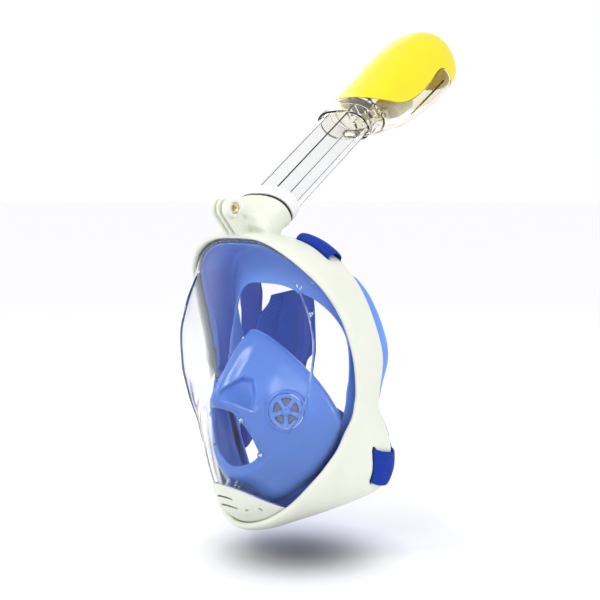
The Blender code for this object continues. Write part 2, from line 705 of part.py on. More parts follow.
def slab(name, grid, thickness):
    """Curved sheet of even thickness about a grid of points."""
    normals = unit(np.cross(np.gradient(grid, axis=0), np.gradient(grid, axis=1))) * thickness / 2
    points = [p for r in grid + normals for p in r] + [p for r in grid - normals for p in r]
    rows, columns = grid.shape[:2]
    total = rows * columns
    faces = strip_faces(rows, columns, False, False)
    faces += [(a + total, d + total, c + total, b + total) for a, b, c, d in faces]
    border = list(range(columns)) + [r * columns + columns - 1 for r in range(1, rows)]
    border += [(rows - 1) * columns + c for c in range(columns - 2, -1, -1)]
    border += [r * columns for r in range(rows - 2, 0, -1)]
    for a, b in zip(border, border[1:] + border[:1]):
        faces.append((a, b, b + total, a + total))
    return solid(name, points, faces)


def loop_path(depth, height):
    """Closed path of a strap round the bar between its slot and the frame's rear edge, as w and n."""
    points = [(-depth, -2), (-depth, 2.2), (-depth + 0.2, height * 0.66), (-depth * 0.72, height * 0.96),
              (-depth * 0.4, height * 0.92), (0, height * 0.56), (2, 1), (1.9, -1.4), (0, -2.3),
              (-depth * 0.5, -2.3)]
    return spline([(w, n, 0) for w, n in points], 20)[:, :2]


def strap_loop(name, slot, side):
    """Band threaded through the slot and round the frame's rear edge."""
    faces_of_band = []
    for f in STRAP_SPAN:
        path = loop_path(slot_depth(slot, f), slot[4])
        tangent = unit(np.roll(path, -1, 0) - np.roll(path, 1, 0))
        normal = np.stack([-tangent[:, 1], tangent[:, 0]], 1) * STRAP_T / 2
        inside_and_out = [path + normal, path - normal]
        faces_of_band.append([[edge_point(slot, side, f, w, n) for w, n in line] for line in inside_and_out])
    sections = []
    for k in range(20):
        sections.append([face[0][k] for face in faces_of_band] + [face[1][k] for face in faces_of_band[::-1]])
    return ring(name, sections)


def build_strap_arm(name, slot, side, points, widths):
    """Fabric arm: a loop round the frame's edge, run on into the strip that goes to the back pad."""
    rows = []
    extra = slot[5]
    for w, n in ((2, -0.6), (3.6 + extra / 2, -2.8), (4.4 + extra, -6), (4.6 + extra, -11)):
        rows.append([tuple(edge_point(slot, side, f, w, n)) for f in STRAP_SPAN])
    for centre, half in zip(points, widths):
        rows.append([tuple(v(centre) + v(half) * k) for k in (-1, 0, 1)])
    count = 3 * len(rows) - 2
    columns = [spline([row[c] for row in rows], count, False) for c in range(3)]
    return add(strap_loop(name, slot, side), slab("strip", np.stack(columns, axis=1), ARM_T))


def build_strap():
    for name, (slot, side, points, widths) in STRAP_PATHS.items():
        finish(build_strap_arm(name, slot, side, points, widths), (0.05, 0.12, 0.5), 0.8)
    rows = [spline([left, middle, right], 7, False) for left, middle, right in PANEL]
    finish(slab("strap_back_pad", np.array(rows), ARM_T), (0.05, 0.12, 0.5), 0.8)


# ---------------------------------------------------------------- snorkel


def build_tube():
    levels = (-SPIGOT, -SPIGOT + 1, TUBE_TOP)
    body = loft("snorkel_tube", [oval(s, 0, TUBE_RX, TUBE_RN) for s in levels])
    inner_x, inner_n = TUBE_RX - TUBE_T, TUBE_RN - TUBE_T
    wall_x, wall = 9.5, 0.8
    core = loft("core", [oval(s, 0, inner_x, inner_n) for s in (-SPIGOT - 1, TUBE_TOP + 1)])
    for side in (-1, 1):
        low, high = sorted((side * (wall_x - wall), side * (wall_x + wall)))
        plate = [[snorkel_point(x, n, s) for x, n in ((low, -30), (high, -30), (high, 30), (low, 30))]
                 for s in (-SPIGOT - 2, TUBE_TOP + 2)]
        cut(core, loft("divider", plate))
    cut(body, core)
    finish(body, (0.86, 0.88, 0.9), 0.05, 0.35, SOCKET)


def build_collar():
    inner = (TUBE_RX + 0.3, TUBE_RN + 0.3)
    rows = [oval(1.6, 0, 27.2, 15.4), oval(2.6, 0, 27.8, 16), oval(11, 0, 27, 15.4), oval(12, 0, 26.2, 14.8),
            oval(12, 0, *inner), oval(1.6, 0, *inner)]
    finish(ring_of_rows("snorkel_collar", rows), (0.86, 0.87, 0.85), 0.3, origin=SOCKET)
    inner = (TUBE_RX + 0.25, TUBE_RN + 0.25)
    rows = [oval(-0.3, 0, 26.4, 14.7), oval(0.5, 0, 27, 15.3), oval(1.3, 0, 26.4, 14.7),
            oval(1.3, 0, *inner), oval(-0.3, 0, *inner)]
    finish(ring_of_rows("socket_o_ring", rows), (0.02, 0.02, 0.02), 0.5, origin=SOCKET)


def dry_top_shell(name):
    outer = [oval(*row) for row in DRY_TOP]
    body = loft(name, outer)
    inner = [oval(s, 0, TUBE_RX + 0.3, TUBE_RN + 0.3) for s in (110, TUBE_TOP + 0.4)]
    for s, centre, rx, rn in DRY_TOP[3:]:
        inner.append(oval(s - (DRY_TOP_T if s > 230 else 0), centre, rx - DRY_TOP_T, rn - DRY_TOP_T))
    return cut(body, loft("hollow", inner))


def cap_outline(offset):
    """Outline in S and N of the region of the cap; a positive offset shrinks it."""
    line = []
    for k, (s, n) in enumerate(CAP_LINE):
        before = CAP_LINE[max(k - 1, 0)]
        after = CAP_LINE[min(k + 1, len(CAP_LINE) - 1)]
        d = Vector((after[0] - before[0], after[1] - before[1])).normalized()
        line.append((s - d.y * offset, n + d.x * offset))
    return line + [(300, -60), (300, 60), (121, 60)]


def build_dry_top():
    cap = dry_top_shell("dry_top_cap")
    keep(cap, side_prism("region", cap_outline(0.2), 60))
    finish(cap, (0.95, 0.83, 0.02), 0.3, origin=SOCKET)
    housing = dry_top_shell("dry_top_housing")
    cut(housing, side_prism("region", cap_outline(-0.2), 60))
    add(housing, mouth_plate())
    for side in (-1, 1):
        add(housing, pin_lug(side))
        cut(housing, vent_slot(side))
    cut(housing, loft("mouth", [oval(s, -0.5, 8.6, 5.2, 28) for s in (SEAT_S - 6, SEAT_S + 6)]))
    cut(housing, disc("pin_hole", snorkel_point(0, PIVOT[1], PIVOT[0]), (1, 0, 0), 1.56, -20, 20, 20))
    finish(housing, (0.86, 0.86, 0.84), 0.05, 0.35, SOCKET)


def mouth_plate():
    """Plate across the housing that carries the valve seat; its edge runs into the housing wall."""
    plate = loft("plate", [oval(SEAT_S - 1.2, -5.5, 24.6, 18.4), oval(SEAT_S + 1.2, -5.8, 24.9, 19)])
    cut(plate, side_prism("region", cap_outline(-0.2), 60))
    for side in (-1, 1):
        corners = [(11.5, -9), (19.5, -7), (19.5, 2), (11.5, 3.5)]
        rows = [[snorkel_point(side * x, n, s) for x, n in corners] for s in (SEAT_S - 6, SEAT_S + 6)]
        cut(plate, loft("exhaust", rows))
    return plate


def pin_lug(side):
    outline = [(SEAT_S, -20), (SEAT_S, -9.5), (PIVOT[0] - 2, -10.5), (PIVOT[0] + 2.5, -11.5),
               (PIVOT[0] + 3.6, -14), (PIVOT[0] + 2.5, -16.8), (PIVOT[0] - 2, -18)]
    low, high = sorted((side * 8.4, side * 11))
    return loft("lug", [[snorkel_point(x, n, s) for s, n in outline] for x in (low, high)])


def vent_slot(side):
    outline = [(165, -25.9), (213, -25.9), (214, -25), (213, -24.1), (165, -24.1), (164, -25)]
    low, high = sorted((side * 10, side * 40))
    return loft("vent", [[snorkel_point(x, n, s) for s, n in outline] for x in (low, high)])


def turned(obj, degrees):
    """Turns an object about the float lever's pin, towards the closed seat when positive."""
    centre = snorkel_point(0, PIVOT[1], PIVOT[0])
    rotation = Matrix.Rotation(math.radians(degrees), 4, "X")
    turn = Matrix.Translation(centre) @ rotation @ Matrix.Translation(-centre)
    obj.data.transform(turn)
    return obj


def build_float():
    """Lever drawn with its disc on the seat, then opened; the float block is drawn open."""
    hinge = snorkel_point(0, PIVOT[1], PIVOT[0])
    lever = disc("float_lever", hinge, (1, 0, 0), 3.6, -7.6, 7.6, 20)
    arm = [(SEAT_S + 4.2, -5.5), (SEAT_S + 4.2, 3.5), (SEAT_S + 5.8, 3.5), (SEAT_S + 6.6, -4.5),
           (PIVOT[0] + 2, -11.4), (PIVOT[0] - 2.4, -15.6)]
    add(lever, loft("arm", [[snorkel_point(x, n, s) for s, n in arm] for x in (-6, 6)]))
    turned(lever, -FLOAT_OPEN)
    tail = [(PIVOT[0] + 1, -11.6), (PIVOT[0] - 1, -16.6), (158, -26), (160.6, -17)]
    add(lever, loft("tail", [[snorkel_point(x, n, s) for s, n in tail] for x in (-5, 5)]))
    cut(lever, disc("pin_hole", hinge, (1, 0, 0), 1.56, -20, 20, 20))
    finish(lever, (0.8, 0.8, 0.78), 0.4, origin=hinge)
    seal = loft("float_seal", [oval(SEAT_S + 1.6, -0.5, 12, 8, 28), oval(SEAT_S + 3.9, -0.5, 12, 8, 28)])
    finish(turned(seal, -FLOAT_OPEN), (0.3, 0.34, 0.4), 0.6, origin=hinge)
    rows = [(161, -20, 11.5, 7.2), (163, -20, 13.5, 8.8), (181, -22, 14, 9.6), (184, -22, 12, 8)]
    finish(loft("float_block", [oval(*row, 28, 3.2) for row in rows]), (0.85, 0.85, 0.8), 0.7, origin=hinge)
    pin = disc("float_pin", hinge, (1, 0, 0), 1.5, -12, 12, 20)
    finish(pin, (0.7, 0.7, 0.72), 0.25, origin=hinge)


def main():
    for obj in list(bpy.data.objects):
        bpy.data.objects.remove(obj)
    build_frame()
    build_lens()
    build_chin_cover()
    build_face_seal()
    build_pocket()
    build_studs()
    build_pocket_valves()
    build_drain()
    build_nut()
    build_strap()
    build_tube()
    build_collar()
    build_dry_top()
    build_float()


main()
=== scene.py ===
"""Looks of the full face snorkel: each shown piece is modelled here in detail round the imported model.

Lengths are in millimetres until place() turns a finished mesh into metres. The mask faces -Y, +Z is up and
+X is the wearer's left.
"""

import math

import bmesh
import bpy
import numpy as np
from mathutils import Matrix, Vector


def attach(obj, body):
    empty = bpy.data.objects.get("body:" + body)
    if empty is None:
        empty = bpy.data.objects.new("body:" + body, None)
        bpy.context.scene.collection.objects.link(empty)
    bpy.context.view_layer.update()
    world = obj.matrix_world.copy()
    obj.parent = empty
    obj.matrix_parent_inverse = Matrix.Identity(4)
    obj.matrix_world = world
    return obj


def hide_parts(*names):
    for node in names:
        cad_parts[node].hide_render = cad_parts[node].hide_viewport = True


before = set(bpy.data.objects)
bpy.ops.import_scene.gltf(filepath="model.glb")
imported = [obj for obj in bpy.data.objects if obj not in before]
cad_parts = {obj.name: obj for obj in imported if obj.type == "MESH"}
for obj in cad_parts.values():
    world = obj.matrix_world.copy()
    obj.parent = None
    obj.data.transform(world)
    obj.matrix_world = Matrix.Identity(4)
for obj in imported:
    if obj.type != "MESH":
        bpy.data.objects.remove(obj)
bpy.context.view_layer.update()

MM = 0.001
STATIONS = 288  # sections around the mask
ROUND = 96  # sides of a turned piece
OVAL_SIDES = 144

# Mask loops, right half from top centre to bottom centre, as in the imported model. The same row of
# every loop lies in one section.
LENS_EDGE = [
    (0, -79, 118.5), (25, -78.5, 117), (45, -75, 109), (61, -67, 96), (72, -56, 80), (79, -45, 58),
    (82, -37, 32), (82, -34, 8), (80.5, -33.5, -4), (79, -34, -14), (75, -37, -26), (71, -40, -38),
    (65, -45, -50), (58, -50, -61), (43, -60, -80), (28, -68, -92), (14, -73, -98), (0, -75, -100),
]
FRAME_BACK = [
    (0, -45, 116), (26, -43, 116.5), (49, -36.5, 111.5), (66, -29.5, 97), (77, -23, 79), (83, -15, 54),
    (84, -8, 30), (82, -9, 6), (82, -10, -8), (85.5, -6.5, -20), (89, -4, -34), (89, -3.5, -48),
    (87.5, -5, -61.5), (81, -11.5, -73), (58, -32, -86), (34, -49, -96), (17, -57, -102), (0, -60, -104),
]
LENS_CREASE = [
    (0, -81, 112), (20, -79.5, 110), (38, -76, 104), (51, -73, 93), (61, -72, 80), (70, -72, 62),
    (75, -73, 42), (72, -74, 14), (68, -74, 2), (63, -75, -8), (57, -76, -18), (50, -77, -28),
    (44, -79, -38), (37, -81, -48), (27, -85, -61), (17, -89, -71), (8, -92, -77), (0, -93, -79),
]
FACE_OPENING = [
    (0, -50, 84), (18, -48, 83), (32, -43, 78), (44, -36, 71), (54, -30, 61), (62, -26, 47),
    (66, -26, 32), (67, -27, 14), (66, -28, 4), (65, -28, -6), (62, -28, -18), (58, -29, -30),
    (52, -30, -42), (45, -32, -53), (34, -36, -66), (22, -41, -76), (11, -45, -82), (0, -46, -84),
]
SEAL_REACH = [3, 2, 2, 4, 8.5, 11, 10, 6, 3, 1.5, 1, 1, 1, 1.5, 3, 3, 4, 4]
LENS_PROFILE = [
    (-81, 112), (-84, 90), (-87, 62), (-91, 42), (-102, 20), (-108.5, -2), (-109.5, -20),
    (-107, -40), (-101, -60), (-93, -79),
]
LENS_T = 2.2
LENS_CENTRE_Z = 20
LENS_FLANGE = 6
STRAP_RECESS = 3

POCKET = [
    [(0, -60, 47), (13, -53, 40), (31, -46, 26), (50, -41, 9), (65, -37, -12),
     (62, -32, -30), (56, -33, -46), (44, -37, -62), (24, -44, -78), (0, -50, -86)],
    [(0, -64, 46), (14, -57, 39), (33, -50, 25), (54, -46, 8), (70, -43, -14),
     (66, -44, -31), (57, -50, -48), (44, -57, -64), (25, -64, -78), (0, -67, -83)],
    [(0, -80, 32), (9, -71, 28), (24, -62, 18), (41, -58, 5), (54, -57, -10),
     (54, -59, -28), (46, -65, -44), (34, -71, -57), (19, -75, -68), (0, -77, -72)],
    [(0, -96, 12), (7, -88, 9), (17, -78, 3), (28, -72, -4), (38, -70, -14),
     (41, -71, -28), (37, -74, -41), (28, -78, -52), (15, -81, -61), (0, -83, -65)],
    [(0, -102.5, 0), (8, -99, -2), (15, -94, -6), (20, -89, -13), (25, -84, -23),
     (28, -80, -34), (29, -78, -43), (24, -79, -51), (13, -82, -57), (0, -84, -60)],
    [(0, -99, -8), (6, -96.5, -9), (11, -93, -11), (15, -89.5, -17), (20, -85, -26),
     (23, -81, -36), (24, -79, -42), (20, -80, -48), (10, -82, -53), (0, -83, -55)],
]
POCKET_COARSE = 48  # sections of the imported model's pocket, on which its studs are placed
POCKET_FINE = 192
POCKET_T = 1.8
VALVE_AT = (42, -68, -9)
VALVE_AXIS = (0.66, -0.74, 0.12)
VALVE_R = 13
STUDS_AT = [(17.5, -89.5, -14.5), (26.5, -80, -42)]

# Snorkel axes: S runs up the tube from the socket mouth, N across its thin side, X across its wide side.
SOCKET = np.array((0.0, -50.0, 140.0))
TILT = math.radians(52.6)
S_AXIS = np.array((0, math.sin(TILT), math.cos(TILT)))
N_AXIS = np.array((0, -math.cos(TILT), math.sin(TILT)))
TUBE_RX, TUBE_RN, TUBE_T = 24.6, 13.2, 1.8
SPIGOT = 14
TUBE_TOP = 124
OVAL = 2.4
DRY_TOP = [
    (112, 0, 26.8, 15.4), (118, -0.5, 27, 16.2), (126, -1.8, 27.2, 17.8), (136, -4.2, 27.6, 19.8),
    (148, -7, 28.2, 23), (162, -9.8, 28.7, 26.4), (190, -12.5, 29, 30.8), (214, -14, 29, 31.2),
    (228, -15.5, 28, 29.8), (238, -17, 25.2, 26.8), (245, -18.5, 20.2, 21.8), (249.5, -19.5, 12.5, 13.8),
]
DRY_TOP_T = 2.2
CAP_LINE = [
    (121, 30), (127, 19), (134, 11), (144, 1), (153, -7), (162, -12), (172, -15), (186, -16.5), (200, -15.5),
    (211, -14.3), (217, -15.5), (221, -20), (224, -30), (227, -42), (231, -60),
]
SEAT_S = 132
PIVOT = (146, -14)
FLOAT_OPEN = 20


# ---------------------------------------------------------------- mesh tools


def mirror(p):
    return (-p[0], p[1], p[2])


def spline(points, count, closed=True):
    """Evenly indexed Catmull-Rom points, with the same number between each two control points."""
    pts = np.array(points, float)
    n = len(pts)
    spans = n if closed else n - 1
    t = np.arange(count) * spans / (count if closed else count - 1)
    i = np.minimum(t.astype(int), spans - 1)
    f = (t - i).reshape((-1,) + (1,) * (pts.ndim - 1))
    if closed:
        a, b, c, d = (pts[(i + j) % n] for j in (-1, 0, 1, 2))
    else:
        a, b, c, d = (pts[np.clip(i + j, 0, n - 1)] for j in (-1, 0, 1, 2))
    return 0.5 * (2 * b + (c - a) * f + (2 * a - 5 * b + 4 * c - d) * f ** 2
                  + (3 * b - a - 3 * c + d) * f ** 3)


def loop(half, count):
    """Closed loop from a right half that starts and ends on the middle plane."""
    return spline(list(half) + [mirror(p) for p in half[-2:0:-1]], count)


def rounded(polygon, times=2):
    """Closed polygons, along the last but one axis, with their corners cut again and again."""
    points = np.asarray(polygon, float)
    for _ in range(times):
        after = np.roll(points, -1, -2)
        pair = np.stack([points * 0.75 + after * 0.25, points * 0.25 + after * 0.75], -2)
        points = pair.reshape(points.shape[:-2] + (-1, points.shape[-1]))
    return points


def unit(a):
    return a / np.linalg.norm(a, axis=-1, keepdims=True)


def solid(name, points, faces):
    """Object from points in millimetres, in triangles, with its faces turned outwards."""
    mesh = bpy.data.meshes.new(name)
    mesh.from_pydata(np.asarray(points, float).reshape(-1, 3).tolist(), [], faces)
    work = bmesh.new()
    work.from_mesh(mesh)
    bmesh.ops.triangulate(work, faces=work.faces)
    bmesh.ops.recalc_face_normals(work, faces=work.faces)
    if work.calc_volume(signed=True) < 0:
        bmesh.ops.reverse_faces(work, faces=work.faces)
    work.to_mesh(mesh)
    work.free()
    obj = bpy.data.objects.new(name, mesh)
    bpy.context.scene.collection.objects.link(obj)
    return obj


def strip_faces(rows, columns, closed_rows, closed_columns):
    r = np.arange(rows if closed_rows else rows - 1)[:, None]
    c = np.arange(columns if closed_columns else columns - 1)[None, :]
    r1, c1 = (r + 1) % rows, (c + 1) % columns
    corners = [r * columns + c, r * columns + c1, r1 * columns + c1, r1 * columns + c]
    return np.stack([k.ravel() for k in corners], 1).tolist()


def ring(name, sections):
    """Closed ring swept through sections, each a closed polygon of the same size."""
    sections = np.asarray(sections)
    return solid(name, sections, strip_faces(*sections.shape[:2], True, True))


def loft(name, sections):
    """Solid through closed sections, with flat ends."""
    sections = np.asarray(sections)
    rows, columns = sections.shape[:2]
    faces = strip_faces(rows, columns, False, True)
    faces.append(list(range(columns)))
    faces.append([(rows - 1) * columns + c for c in range(columns)])
    return solid(name, sections, faces)


def boolean(target, cutter, operation):
    modifier = target.modifiers.new("cut", "BOOLEAN")
    modifier.operation = operation
    modifier.solver = "MANIFOLD"
    modifier.object = cutter
    return applied(target, [cutter])


def applied(obj, helpers=()):
    """The object with its modifiers applied; the helpers are removed."""
    bpy.context.view_layer.update()
    mesh = bpy.data.meshes.new_from_object(obj.evaluated_get(bpy.context.evaluated_depsgraph_get()))
    obj.modifiers.clear()
    old, obj.data = obj.data, mesh
    bpy.data.meshes.remove(old)
    for helper in helpers:
        bpy.data.objects.remove(helper)
    return obj


def cut(target, *cutters):
    for cutter in cutters:
        boolean(target, cutter, "DIFFERENCE")
    return target


def add(target, *others):
    for other in others:
        boolean(target, other, "UNION")
    return target


def keep(target, cutter):
    return boolean(target, cutter, "INTERSECT")


def moulded(obj, voxel, smoothing=5, factor=0.5):
    """Remeshes a solid evenly and smooths it, which gives its edges and inner corners a moulded radius."""
    remesh = obj.modifiers.new("remesh", "REMESH")
    remesh.mode = "VOXEL"
    remesh.voxel_size = voxel
    smooth = obj.modifiers.new("smooth", "SMOOTH")
    smooth.factor = factor
    smooth.iterations = smoothing
    return applied(obj)


def basis(axis):
    axis = unit(np.array(axis, float))
    side = np.cross((0, 0, 1), axis)
    side = unit(side) if np.linalg.norm(side) > 1e-6 else np.array((1.0, 0, 0))
    return side, np.cross(axis, side), axis


def circles(centre, axis, profile, count=ROUND, start=0.0):
    """Circles about an axis, one for each radius and height of the profile."""
    side, top, axis = basis(axis)
    angle = start + 2 * math.pi * np.arange(count) / count
    circle = np.cos(angle)[:, None] * side + np.sin(angle)[:, None] * top
    return [np.array(centre, float) + axis * height + circle * radius for radius, height in profile]


def turning(name, centre, axis, profile, count=ROUND, start=0.0):
    """Solid of revolution with flat ends."""
    return loft(name, circles(centre, axis, profile, count, start))


def disc(name, centre, axis, radius, low, high, count=ROUND, start=0.0):
    return turning(name, centre, axis, ((radius, low), (radius, high)), count, start)


def turned_ring(name, centre, axis, profile, count=ROUND):
    """Ring of revolution from a closed profile of radius and height."""
    return ring(name, circles(centre, axis, profile, count))


def wedge(name, centre, axis, inner, outer, middle, half, low, high):
    """Opening between two radii, centred on an angle, with a half width in radians."""
    side, top, axis = basis(axis)
    fan = [(inner, a) for a in np.linspace(-0.55, 0.55, 6)] + [(outer, a) for a in np.linspace(1, -1, 13)]
    outline = rounded([[r * math.cos(middle + a * half), r * math.sin(middle + a * half)] for r, a in fan], 2)
    flat = outline[:, :1] * side + outline[:, 1:] * top + np.array(centre, float)
    return loft(name, [flat + axis * low, flat + axis * high])


def prism(name, outline, low, high):
    """Prism along Y from an outline of X and Z."""
    return loft(name, [[(x, y, z) for x, z in outline] for y in (low, high)])


def snorkel_point(x, n, s):
    return SOCKET + S_AXIS * s + N_AXIS * n + np.array((x, 0, 0))


def oval(s, centre, rx, rn, count=OVAL_SIDES, power=OVAL):
    angle = 2 * math.pi * np.arange(count) / count
    c, d = np.cos(angle), np.sin(angle)
    x = rx * np.sign(c) * np.abs(c) ** (2 / power)
    n = centre + rn * np.sign(d) * np.abs(d) ** (2 / power)
    return SOCKET + S_AXIS * s + n[:, None] * N_AXIS + x[:, None] * np.array((1.0, 0, 0))


def side_prism(name, outline, half):
    """Prism across the snorkel from an outline of S and N."""
    return loft(name, [[snorkel_point(x, n, s) for s, n in outline] for x in (-half, half)])


# ---------------------------------------------------------------- materials


class Paint:
    """Node material round one Principled shader, with object-space procedural patterns."""

    def __init__(self, name, colour, roughness, **sockets):
        self.material = bpy.data.materials.new(name)
        self.material.use_nodes = True
        self.tree = self.material.node_tree
        self.shader = self.tree.nodes["Principled BSDF"]
        self.output = self.tree.nodes["Material Output"]
        self.shader.inputs["Base Color"].default_value = (*colour, 1)
        self.shader.inputs["Roughness"].default_value = roughness
        for socket, value in sockets.items():
            self.shader.inputs[socket.replace("_", " ")].default_value = value
        self.place = self.node("ShaderNodeTexCoord").outputs["Object"]

    def node(self, kind, **values):
        made = self.tree.nodes.new(kind)
        for key, value in values.items():
            if key in made.inputs:
                made.inputs[key].default_value = value
            else:
                setattr(made, key, value)
        return made

    def link(self, start, end):
        self.tree.links.new(start, end)

    def noise(self, scale, detail=3.0, stretch=None):
        """Noise value; scale is in patches per metre."""
        made = self.node("ShaderNodeTexNoise", Scale=scale, Detail=detail)
        place = self.place
        if stretch:
            mapping = self.node("ShaderNodeMapping")
            mapping.inputs["Scale"].default_value = stretch
            self.link(place, mapping.inputs["Vector"])
            place = mapping.outputs["Vector"]
        self.link(place, made.inputs["Vector"])
        return made.outputs["Fac"]

    def spread(self, value, low, high, start=0.3, end=0.7):
        """Value between start and end turned into a number between low and high."""
        made = self.node("ShaderNodeMapRange")
        for key, number in (("From Min", start), ("From Max", end), ("To Min", low), ("To Max", high)):
            made.inputs[key].default_value = number
        self.link(value, made.inputs["Value"])
        return made.outputs["Result"]

    def ramp(self, value, stops):
        made = self.node("ShaderNodeValToRGB")
        elements = made.color_ramp.elements
        for k, (place, colour) in enumerate(stops):
            element = elements[k] if k < 2 else elements.new(place)
            element.position = place
            element.color = (*colour, 1)
        self.link(value, made.inputs["Fac"])
        return made.outputs["Color"]

    def math(self, operation, a, b):
        made = self.node("ShaderNodeMath", operation=operation)
        for socket, value in zip(made.inputs, (a, b)):
            if isinstance(value, (int, float)):
                socket.default_value = value
            else:
                self.link(value, socket)
        return made.outputs["Value"]

    def colour(self, value):
        self.link(value, self.shader.inputs["Base Color"])

    def roughness(self, value):
        self.link(value, self.shader.inputs["Roughness"])

    def bump(self, height, depth, strength=1.0):
        """Relief of the height value; depth is in millimetres."""
        made = self.node("ShaderNodeBump", Strength=strength, Distance=depth * MM)
        self.link(height, made.inputs["Height"])
        self.link(made.outputs["Normal"], self.shader.inputs["Normal"])

    def lets_lamps_through(self, tint, share):
        """Shadow rays pass this clear plastic, tinted, instead of stopping at it."""
        clear = self.node("ShaderNodeBsdfTransparent", Color=(*tint, 1))
        path = self.node("ShaderNodeLightPath")
        factor = self.math("MULTIPLY", path.outputs["Is Shadow Ray"], share)
        mix = self.node("ShaderNodeMixShader")
        self.link(factor, mix.inputs["Fac"])
        self.link(self.shader.outputs["BSDF"], mix.inputs[1])
        self.link(clear.outputs["BSDF"], mix.inputs[2])
        self.link(mix.outputs["Shader"], self.output.inputs["Surface"])


def srgb(r, g, b):
    """Linear colour from sRGB numbers up to 255."""
    return tuple(((c / 255 + 0.055) / 1.055) ** 2.4 if c > 10 else c / 3294.6 for c in (r, g, b))


def shade(colour, factor):
    return tuple(min(c * factor, 1) for c in colour)


def plastic(name, colour, roughness, grain=0.012, coat=0.0):
    """Moulded plastic: faint flow marks, uneven gloss, fine spark grain and a paler colour on convex edges.
    """
    paint = Paint(name, colour, roughness, Coat_Weight=coat, Coat_Roughness=0.08, IOR=1.5)
    convex_edges = paint.node("ShaderNodeNewGeometry").outputs["Pointiness"]
    flow = paint.noise(55, 4, (1, 1, 0.35))
    body = paint.ramp(flow, [(0.25, shade(colour, 0.955)), (0.55, colour), (0.8, shade(colour, 1.03))])
    mix = paint.node("ShaderNodeMix", data_type="RGBA")
    paint.link(paint.spread(convex_edges, 0, 0.5, 0.53, 0.62), mix.inputs["Factor"])
    paint.link(body, mix.inputs[6])
    mix.inputs[7].default_value = (*shade(colour, 1.12), 1)
    paint.colour(mix.outputs[2])
    paint.roughness(paint.spread(paint.noise(240, 5), roughness * 0.82, roughness * 1.22))
    paint.bump(paint.noise(1500, 2), grain)
    return paint.material


def silicone(name, colour, roughness=0.34, gloss=0.5):
    """Soft silicone: slightly milky, cloudy in its depth, with a fine satin skin."""
    paint = Paint(name, colour, roughness, Subsurface_Weight=0.12, Subsurface_Scale=0.004, IOR=1.43,
                  Specular_IOR_Level=gloss)
    cloud = paint.noise(38, 5)
    paint.colour(paint.ramp(cloud, [(0.25, shade(colour, 0.9)), (0.5, colour), (0.78, shade(colour, 1.1))]))
    paint.roughness(paint.spread(paint.noise(170, 4), roughness * 0.78, roughness * 1.3))
    paint.bump(paint.noise(900, 3), 0.03)
    return paint.material


def clear(name, tint, roughness=0.02, ripple=0.02, ior=1.3):
    """Clear moulded plastic: thin haze, faint ripple and fine scratches, and it lets lamps through."""
    paint = Paint(name, tint, roughness, Transmission_Weight=1.0, IOR=ior)
    haze = paint.noise(28, 4)
    paint.colour(paint.ramp(haze, [(0.3, shade(tint, 0.985)), (0.7, shade(tint, 1.0))]))
    scratches = paint.noise(700, 5, (1, 0.08, 1))
    paint.roughness(paint.spread(scratches, roughness * 0.6, roughness * 2.4, 0.45, 0.75))
    paint.bump(paint.noise(60, 2), ripple)
    paint.lets_lamps_through(shade(tint, 0.99), 0.92)
    return paint.material


def webbing(name, colour, pitch=0.9):
    """Elastic webbing: twill threads across and along, worn fluff and uneven dye."""
    paint = Paint(name, colour, 0.82, Sheen_Weight=0.08, Sheen_Roughness=0.5, Specular_IOR_Level=0.25)
    threads = []
    for turn in ((0.55, 0.3, 0.2), (-0.6, -0.25, 0.9)):
        mapping = paint.node("ShaderNodeMapping")
        mapping.inputs["Rotation"].default_value = turn
        paint.link(paint.place, mapping.inputs["Vector"])
        wave = paint.node("ShaderNodeTexWave", Scale=0.314 / (pitch * MM), Distortion=0.6)
        wave.inputs["Detail"].default_value = 2
        wave.inputs["Detail Scale"].default_value = 1.5
        paint.link(mapping.outputs["Vector"], wave.inputs["Vector"])
        threads.append(wave.outputs["Fac"])
    weave = paint.math("MULTIPLY", *threads)
    dye = paint.noise(90, 4)
    blend = paint.math("ADD", paint.math("MULTIPLY", weave, 0.6), paint.math("MULTIPLY", dye, 0.4))
    paint.colour(paint.ramp(blend, [(0.15, shade(colour, 0.6)), (0.4, colour), (0.8, shade(colour, 1.45))]))
    paint.roughness(paint.spread(dye, 0.7, 0.95))
    paint.bump(paint.math("ADD", weave, paint.math("MULTIPLY", paint.noise(2600, 2), 0.5)), 0.12)
    return paint.material


def metal(name, colour, roughness):
    """Turned metal with fine tool marks and dull spots."""
    paint = Paint(name, colour, roughness, Metallic=1.0)
    paint.colour(paint.ramp(paint.noise(400, 4), [(0.3, shade(colour, 0.8)), (0.7, shade(colour, 1.1))]))
    marks = paint.noise(900, 4, (0.1, 1, 1))
    paint.roughness(paint.spread(marks, roughness * 0.7, roughness * 1.5))
    paint.bump(marks, 0.02)
    return paint.material


